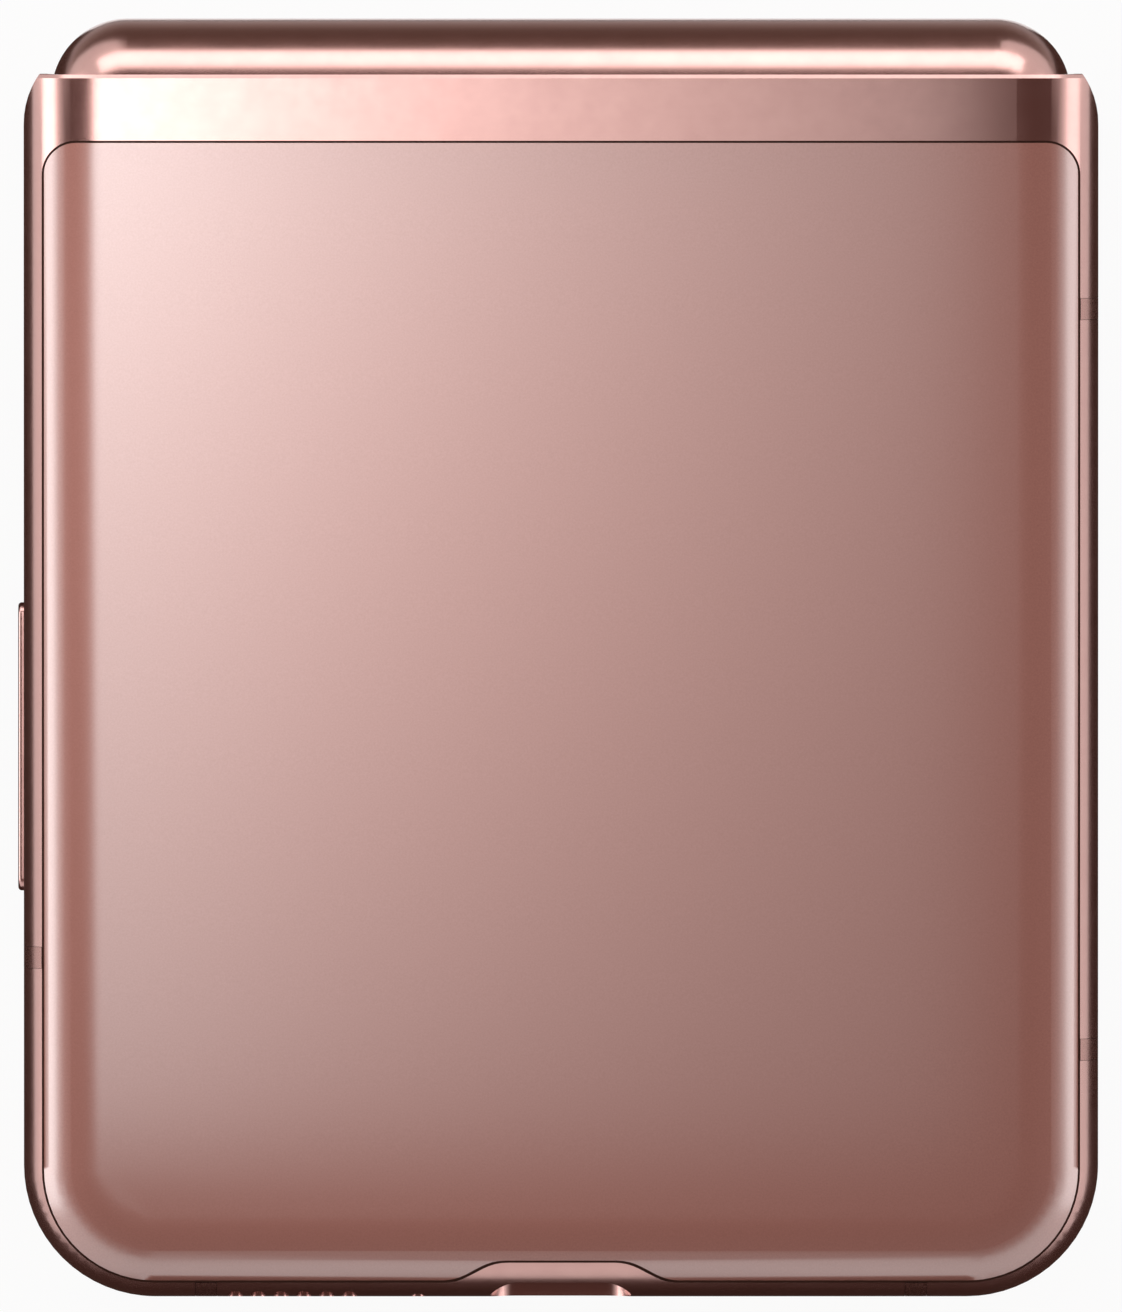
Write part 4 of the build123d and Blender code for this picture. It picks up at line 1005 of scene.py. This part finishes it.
@dataclass
class FoldStrip:
    """Half of the screen's flexible strip, from one half's rigid panel to the middle of the fold.

    It lies flat when the phone is open. Its shut shape is the one that the bend carries back there:
    a point at t along the bend's line has turned by travel times the smooth step of t. That angle is
    searched for in rounds, each of which goes a step of the way.
    """

    name: str
    body: str
    axis: Vector
    outward: Vector
    deeper: Vector
    travel: float
    half_width: float = 33.9 * MM
    tail: float = 1.0 * MM
    reach: float = 1.95 * MM
    thickness: float = 0.3 * MM
    lean: float = 0.6
    rows: int = 48
    columns: int = 12
    rounds: int = 120
    step: float = 0.5
    digits: int = 9

    @property
    def line(self) -> Vector:
        """The bend's line: t is a point's product with this, measured from the axis."""
        return (self.outward * self.lean + self.inward) / self.reach

    @property
    def inward(self) -> Vector:
        """The direction from this half's axis to the middle of the shut fold."""
        return -self.deeper

    def shut_place(self, along: float, depth: float) -> Vector:
        """Find where a point of the flat strip lies when the phone is shut.

        Args:
            along: its distance from the hinge axis towards the middle, along the open screen.
            depth: its distance behind the screen's surface.

        Returns:
            Its place in the part's frame.
        """
        angle = 0.0
        point = self.outward * along + self.deeper * depth
        for _ in range(self.rounds):
            t = min(1.0, max(0.0, point.dot(self.line)))
            angle += self.step * (self.travel * t * t * (3 - 2 * t) - angle)
            ahead = self.outward * math.cos(angle) + self.inward * math.sin(angle)
            behind = self.outward * math.sin(angle) - self.inward * math.cos(angle)
            point = ahead * along + behind * depth
        return self.axis + point

    def build(self, finish: bpy.types.Material) -> bpy.types.Object:
        """Model the strip flat, give it its thickness and bend it shut.

        Args:
            finish: its material.

        Returns:
            The strip.
        """
        shape = bmesh.new()
        bmesh.ops.create_grid(shape, x_segments=self.columns, y_segments=self.rows, size=0.5)
        length = self.reach + self.tail
        bmesh.ops.scale(shape, vec=(2 * self.half_width, length, 1.0), verts=shape.verts)
        bmesh.ops.translate(shape, vec=(0, length / 2 - self.tail, 0), verts=shape.verts)
        lower_layer = bmesh.ops.extrude_face_region(shape, geom=list(shape.faces))
        moved = [g for g in lower_layer["geom"] if isinstance(g, bmesh.types.BMVert)]
        bmesh.ops.translate(shape, vec=(0, 0, self.thickness), verts=moved)
        places: dict[tuple[float, float], Vector] = {}
        for vertex in shape.verts:
            key = (round(vertex.co.y, self.digits), round(vertex.co.z, self.digits))
            if key not in places:
                places[key] = self.shut_place(*key)
            vertex.co = Vector((vertex.co.x, places[key].y, places[key].z))
        bmesh.ops.recalc_face_normals(shape, faces=shape.faces)
        strip = finished_piece(self.name, shape, finish)
        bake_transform(strip)
        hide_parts("display_fold")
        LOG.info("%s bends between %s and the spine", self.name, self.body)
        return strip


@dataclass(frozen=True)
class Lamp:
    """One soft lamp: where its middle hangs, which way it shines, its two sides and its power in watts."""

    name: str
    place: tuple[float, float, float]
    facing: tuple[float, float, float]
    width: float
    height: float
    power: float

    def hang(self) -> None:
        """Hang the lamp in the scene."""
        data = bpy.data.lights.new(self.name, "AREA")
        data.shape = "RECTANGLE"
        data.size = self.width
        data.size_y = self.height
        data.energy = self.power
        lamp = bpy.data.objects.new(self.name, data)
        lamp.location = self.place
        lamp.rotation_euler = Vector(self.facing).to_track_quat("-Z", "Y").to_euler()
        bpy.context.scene.collection.objects.link(lamp)


@dataclass
class Studio:
    """A white table in a white room, a glowing panel close over the phone and the camera straight above."""

    top: float
    footprint: tuple[float, float, float, float]
    image_height: float = 89.7 * MM
    centre_y: float = 0.03 * MM
    lens: float = 1100.0
    sensor: float = 36.0
    table_half: float = 4.0
    table_squares: int = 8
    clip: tuple[float, float] = (0.01, 20.0)
    drop: float = 0.05 * MM
    table_glow: float = 0.93
    card_side: float = 30.0 * MM
    card_end: float = 260.0 * MM
    card_tuck: float = 2.0 * MM
    card_gap: float = 5.0 * MM
    card_rise: float = 85.0 * MM
    # Painted reflection tones of the card: how light or dark the metal's reflection of it is, from its edge
    # by the phone back along Y.
    card_reflection_tones: tuple[tuple[float, str], ...] = (
        (0.0, "523a33"),
        (0.04, "c4c0be"),
        (0.2, "9f948e"),
        (0.4, "786860"),
        (1.0, "6c5950"),
    )
    fade_length: float = 50.0 * MM
    panel_low: tuple[float, float] = (-40.0 * MM, -36.5 * MM)
    panel_high: tuple[float, float] = (29.0 * MM, 44.0 * MM)
    panel_gap: float = 40.0 * MM
    panel_bright: tuple[float, float] = (-30.0 * MM, 30.0 * MM)
    panel_peak: float = 3.1
    panel_fade: tuple[float, float] = (31.0 * MM, 58.0 * MM)
    panel_floor: float = 0.2
    room: tuple[tuple[float, str], ...] = (
        (0.0, "ffffff"),
        (0.55, "ffffff"),
        (0.76, "5a423c"),
        (1.0, "5f4741"),
    )
    lamps: tuple[Lamp, ...] = (
        Lamp("left", place=(-0.60, 0.0, 0.16), facing=(1.0, 0.0, -0.2), width=0.60, height=0.30, power=1.4),
        Lamp("right", place=(0.60, 0.0, 0.16), facing=(-1.0, 0.0, -0.2), width=0.60, height=0.30, power=0.8),
        Lamp("spine", place=(0.0, 0.50, 0.28), facing=(0.0, -1.0, -0.5), width=0.90, height=0.26, power=1.5),
    )

    def build(self) -> None:
        """Set the table, the room's light, the lamps, the panel, the dark card and the camera."""
        self.lay_table()
        self.lay_card()
        self.hang_panel()
        self.light_room()
        for lamp in self.lamps:
            lamp.hang()
        self.set_camera()

    def lay_table(self) -> None:
        """Lay a wide white table top; it glows a little where it is seen, so that it stays white."""
        shape = bmesh.new()
        squares = self.table_squares
        bmesh.ops.create_grid(shape, x_segments=squares, y_segments=squares, size=self.table_half)
        bmesh.ops.translate(shape, vec=(0, 0, -self.drop), verts=shape.verts)
        paper = TABLE_PAPER.make()
        tree = paper.node_tree
        rays = add_node(tree, "LightPath", {})
        seen = rays.outputs["Is Camera Ray"]
        for kind in ("Is Glossy Ray", "Is Transmission Ray"):
            either = add_node(tree, "Math", {"operation": "MAXIMUM"}, {0: seen, 1: rays.outputs[kind]})
            seen = either.outputs["Value"]
        share = add_node(tree, "Math", {"operation": "MULTIPLY", 1: self.table_glow}, {0: seen})
        glow = add_node(tree, "Emission", {"Color": linear("ffffff"), "Strength": 1.0})
        lit = add_node(
            tree,
            "MixShader",
            {},
            {
                0: share.outputs["Value"],
                1: tree.nodes["Principled BSDF"].outputs["BSDF"],
                2: glow.outputs["Emission"],
            },
        )
        side = add_node(tree, "NewGeometry", {})
        clear = add_node(tree, "BsdfTransparent", {})
        whole = add_node(
            tree,
            "MixShader",
            {},
            {0: side.outputs["Backfacing"], 1: lit.outputs["Shader"], 2: clear.outputs["BSDF"]},
        )
        tree.links.new(whole.outputs["Shader"], tree.nodes["Material Output"].inputs["Surface"])
        finished_piece("table", shape, paper)

    def lay_card(self) -> None:
        """Lay a dark card round the phone that only reflections show, as a studio flag does."""
        low = Vector((self.footprint[0] + self.card_tuck, self.footprint[1] + self.card_tuck, 0))
        high = Vector((self.footprint[2] - self.card_tuck, self.footprint[3] + self.card_gap, 0))
        shape = bmesh.new()
        bmesh.ops.create_grid(shape, x_segments=1, y_segments=1, size=0.5)
        width = high.x - low.x + 2 * self.card_side
        length = high.y - low.y + 2 * self.card_end
        bmesh.ops.scale(shape, vec=(width, length, 1.0), verts=shape.verts)
        middle = (low + high) / 2 + Vector((0, 0, -self.drop / 2))
        bmesh.ops.translate(shape, vec=middle, verts=shape.verts)
        for corner, normal in ((low, (1, 0, 0)), (low, (0, 1, 0)), (high, (1, 0, 0)), (high, (0, 1, 0))):
            whole = shape.faces[:] + shape.edges[:]
            bmesh.ops.bisect_plane(shape, geom=whole, plane_co=corner, plane_no=normal)
        under = [
            f
            for f in shape.faces
            if low.x < f.calc_center_median().x < high.x and low.y < f.calc_center_median().y < high.y
        ]
        bmesh.ops.delete(shape, geom=under, context="FACES")
        behind = [e for e in shape.edges if min(v.co.y for v in e.verts) > high.y + self.card_end / 2]
        raised = bmesh.ops.extrude_edge_only(shape, edges=behind)["geom"]
        raised_corners = [g for g in raised if isinstance(g, bmesh.types.BMVert)]
        bmesh.ops.translate(shape, vec=(0, 0, self.card_rise), verts=raised_corners)
        # Dead matt card, painted in a run of tones behind the spine: painted reflection brightness, the
        # light and shade that the metal shows of the room there.
        reflection_flag = ReflectionToneCard(
            name="black_card",
            colour=self.card_reflection_tones[0][1],
            roughness=0.95,
            specular=0.0,
            start=high.y,
            length=self.fade_length,
            fade=self.card_reflection_tones,
        ).make()
        self.show_in_reflections(finished_piece("black_card", shape, reflection_flag))

    def hang_panel(self) -> None:
        """Hang a glowing panel close over the phone, brightest at one corner, that only reflections show."""
        shape = bmesh.new()
        bmesh.ops.create_grid(shape, x_segments=1, y_segments=1, size=0.5)
        low, high = Vector(self.panel_low), Vector(self.panel_high)
        bmesh.ops.scale(shape, vec=(*(high - low), 1.0), verts=shape.verts)
        middle = (low + high) / 2
        bmesh.ops.translate(shape, vec=(*middle, self.top + self.panel_gap), verts=shape.verts)
        # Opal acrylic in front of lamps: a smooth white glow that falls away from one corner.
        glow = bpy.data.materials.new("panel_diffuser")
        glow.use_nodes = True
        tree = glow.node_tree
        tree.nodes.remove(tree.nodes["Principled BSDF"])
        where = add_node(tree, "TexCoord", {})
        bright_x, bright_y = self.panel_bright
        fade_x, fade_y = self.panel_fade
        mapped = add_node(
            tree,
            "Mapping",
            {
                "vector_type": "POINT",
                "Location": (bright_x / fade_x, -bright_y / fade_y, 0),
                "Scale": (-1 / fade_x, 1 / fade_y, 0),
            },
            {"Vector": where.outputs["Object"]},
        )
        fall = add_node(
            tree, "VectorMath", {"operation": "DOT_PRODUCT", 1: (1, 1, 0)}, {0: mapped.outputs["Vector"]}
        )
        share = add_node(tree, "Math", {"operation": "EXPONENT"}, {0: fall.outputs["Value"]})
        strength = add_node(
            tree,
            "Math",
            {"operation": "MULTIPLY_ADD", 1: self.panel_peak, 2: self.panel_floor},
            {0: share.outputs["Value"]},
        )
        white = {"Color": linear("ffffff")}
        light = add_node(tree, "Emission", white, {"Strength": strength.outputs["Value"]})
        tree.links.new(light.outputs["Emission"], tree.nodes["Material Output"].inputs["Surface"])
        self.show_in_reflections(finished_piece("light_panel", shape, glow))

    def show_in_reflections(self, piece: bpy.types.Object) -> None:
        """Make a piece part of the studio and hide it from all but reflections.

        Args:
            piece: the piece.
        """
        piece.visible_camera = False
        piece.visible_diffuse = False
        piece.visible_shadow = False
        piece.visible_transmission = False

    def light_room(self) -> None:
        """Make the room white up to half height and dim overhead, as a light tent with an open top is."""
        world = bpy.data.worlds.new("room")
        world.use_nodes = True
        tree = world.node_tree
        where = add_node(tree, "TexCoord", {})
        height = add_node(tree, "SeparateXYZ", {}, {0: where.outputs["Generated"]})
        tone = pick_tone(tree, height.outputs["Z"], self.room)
        tree.links.new(tone, tree.nodes["Background"].inputs["Color"])
        bpy.context.scene.world = world

    def set_camera(self) -> None:
        """Put the camera straight above the phone, with the spine at the top of the picture."""
        data = bpy.data.cameras.new("camera")
        data.lens = self.lens
        data.sensor_width = self.sensor
        distance = self.image_height * self.lens / self.sensor
        camera = bpy.data.objects.new("camera", data)
        camera.location = (0.0, self.centre_y, self.top + distance)
        data.clip_start, data.clip_end = self.clip
        bpy.context.scene.collection.objects.link(camera)
        bpy.context.scene.camera = camera


# ---------------------------------------------------------------- the whole phone
def main() -> None:
    """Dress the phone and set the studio."""
    logging.basicConfig(level=logging.INFO, format="%(message)s")
    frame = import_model()
    nodes = frame["nodes"]
    joints = {joint["name"]: joint for joint in frame["joints"]}
    camera_axis = Vector(joints["spine_fold"]["pos_m"])
    plain_axis = Vector(joints["lower_fold"]["pos_m"])
    travel = math.radians(joints["spine_fold"]["range_deg"][1])
    wedge = math.pi - 2 * travel
    camera_half = HalfFrame(axis=camera_axis, turn=0.0, across=1.0)
    plain_half = HalfFrame(axis=plain_axis, turn=wedge, across=-1.0)

    CameraHalf(nodes, camera_half).dress_all()
    CameraCluster(nodes).dress_all()
    PlainHalf(nodes, plain_half).dress_all()
    ChargingSocket(nodes, plain_half).build()
    Hinge(nodes).dress_all()

    film = DISPLAY_FILM.make()
    FoldStrip(
        name="fold_camera_side",
        body="upper_half",
        axis=camera_axis,
        outward=Vector((0, 1, 0)),
        deeper=Vector((0, 0, -1)),
        travel=travel,
    ).build(film)
    FoldStrip(
        name="fold_plain_side",
        body="lower_half",
        axis=plain_axis,
        outward=Vector((0, math.cos(wedge), math.sin(wedge))),
        deeper=Vector((0, -math.sin(wedge), math.cos(wedge))),
        travel=travel,
    ).build(film)

    low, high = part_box("upper_frame")
    footprint = (low.x, low.y, high.x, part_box("spine_cover")[1].y)
    Studio(top=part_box("lower_glass")[1].z, footprint=footprint).build()
    bpy.context.scene.view_settings.view_transform = "Standard"


if __name__ == "__main__":
    main()
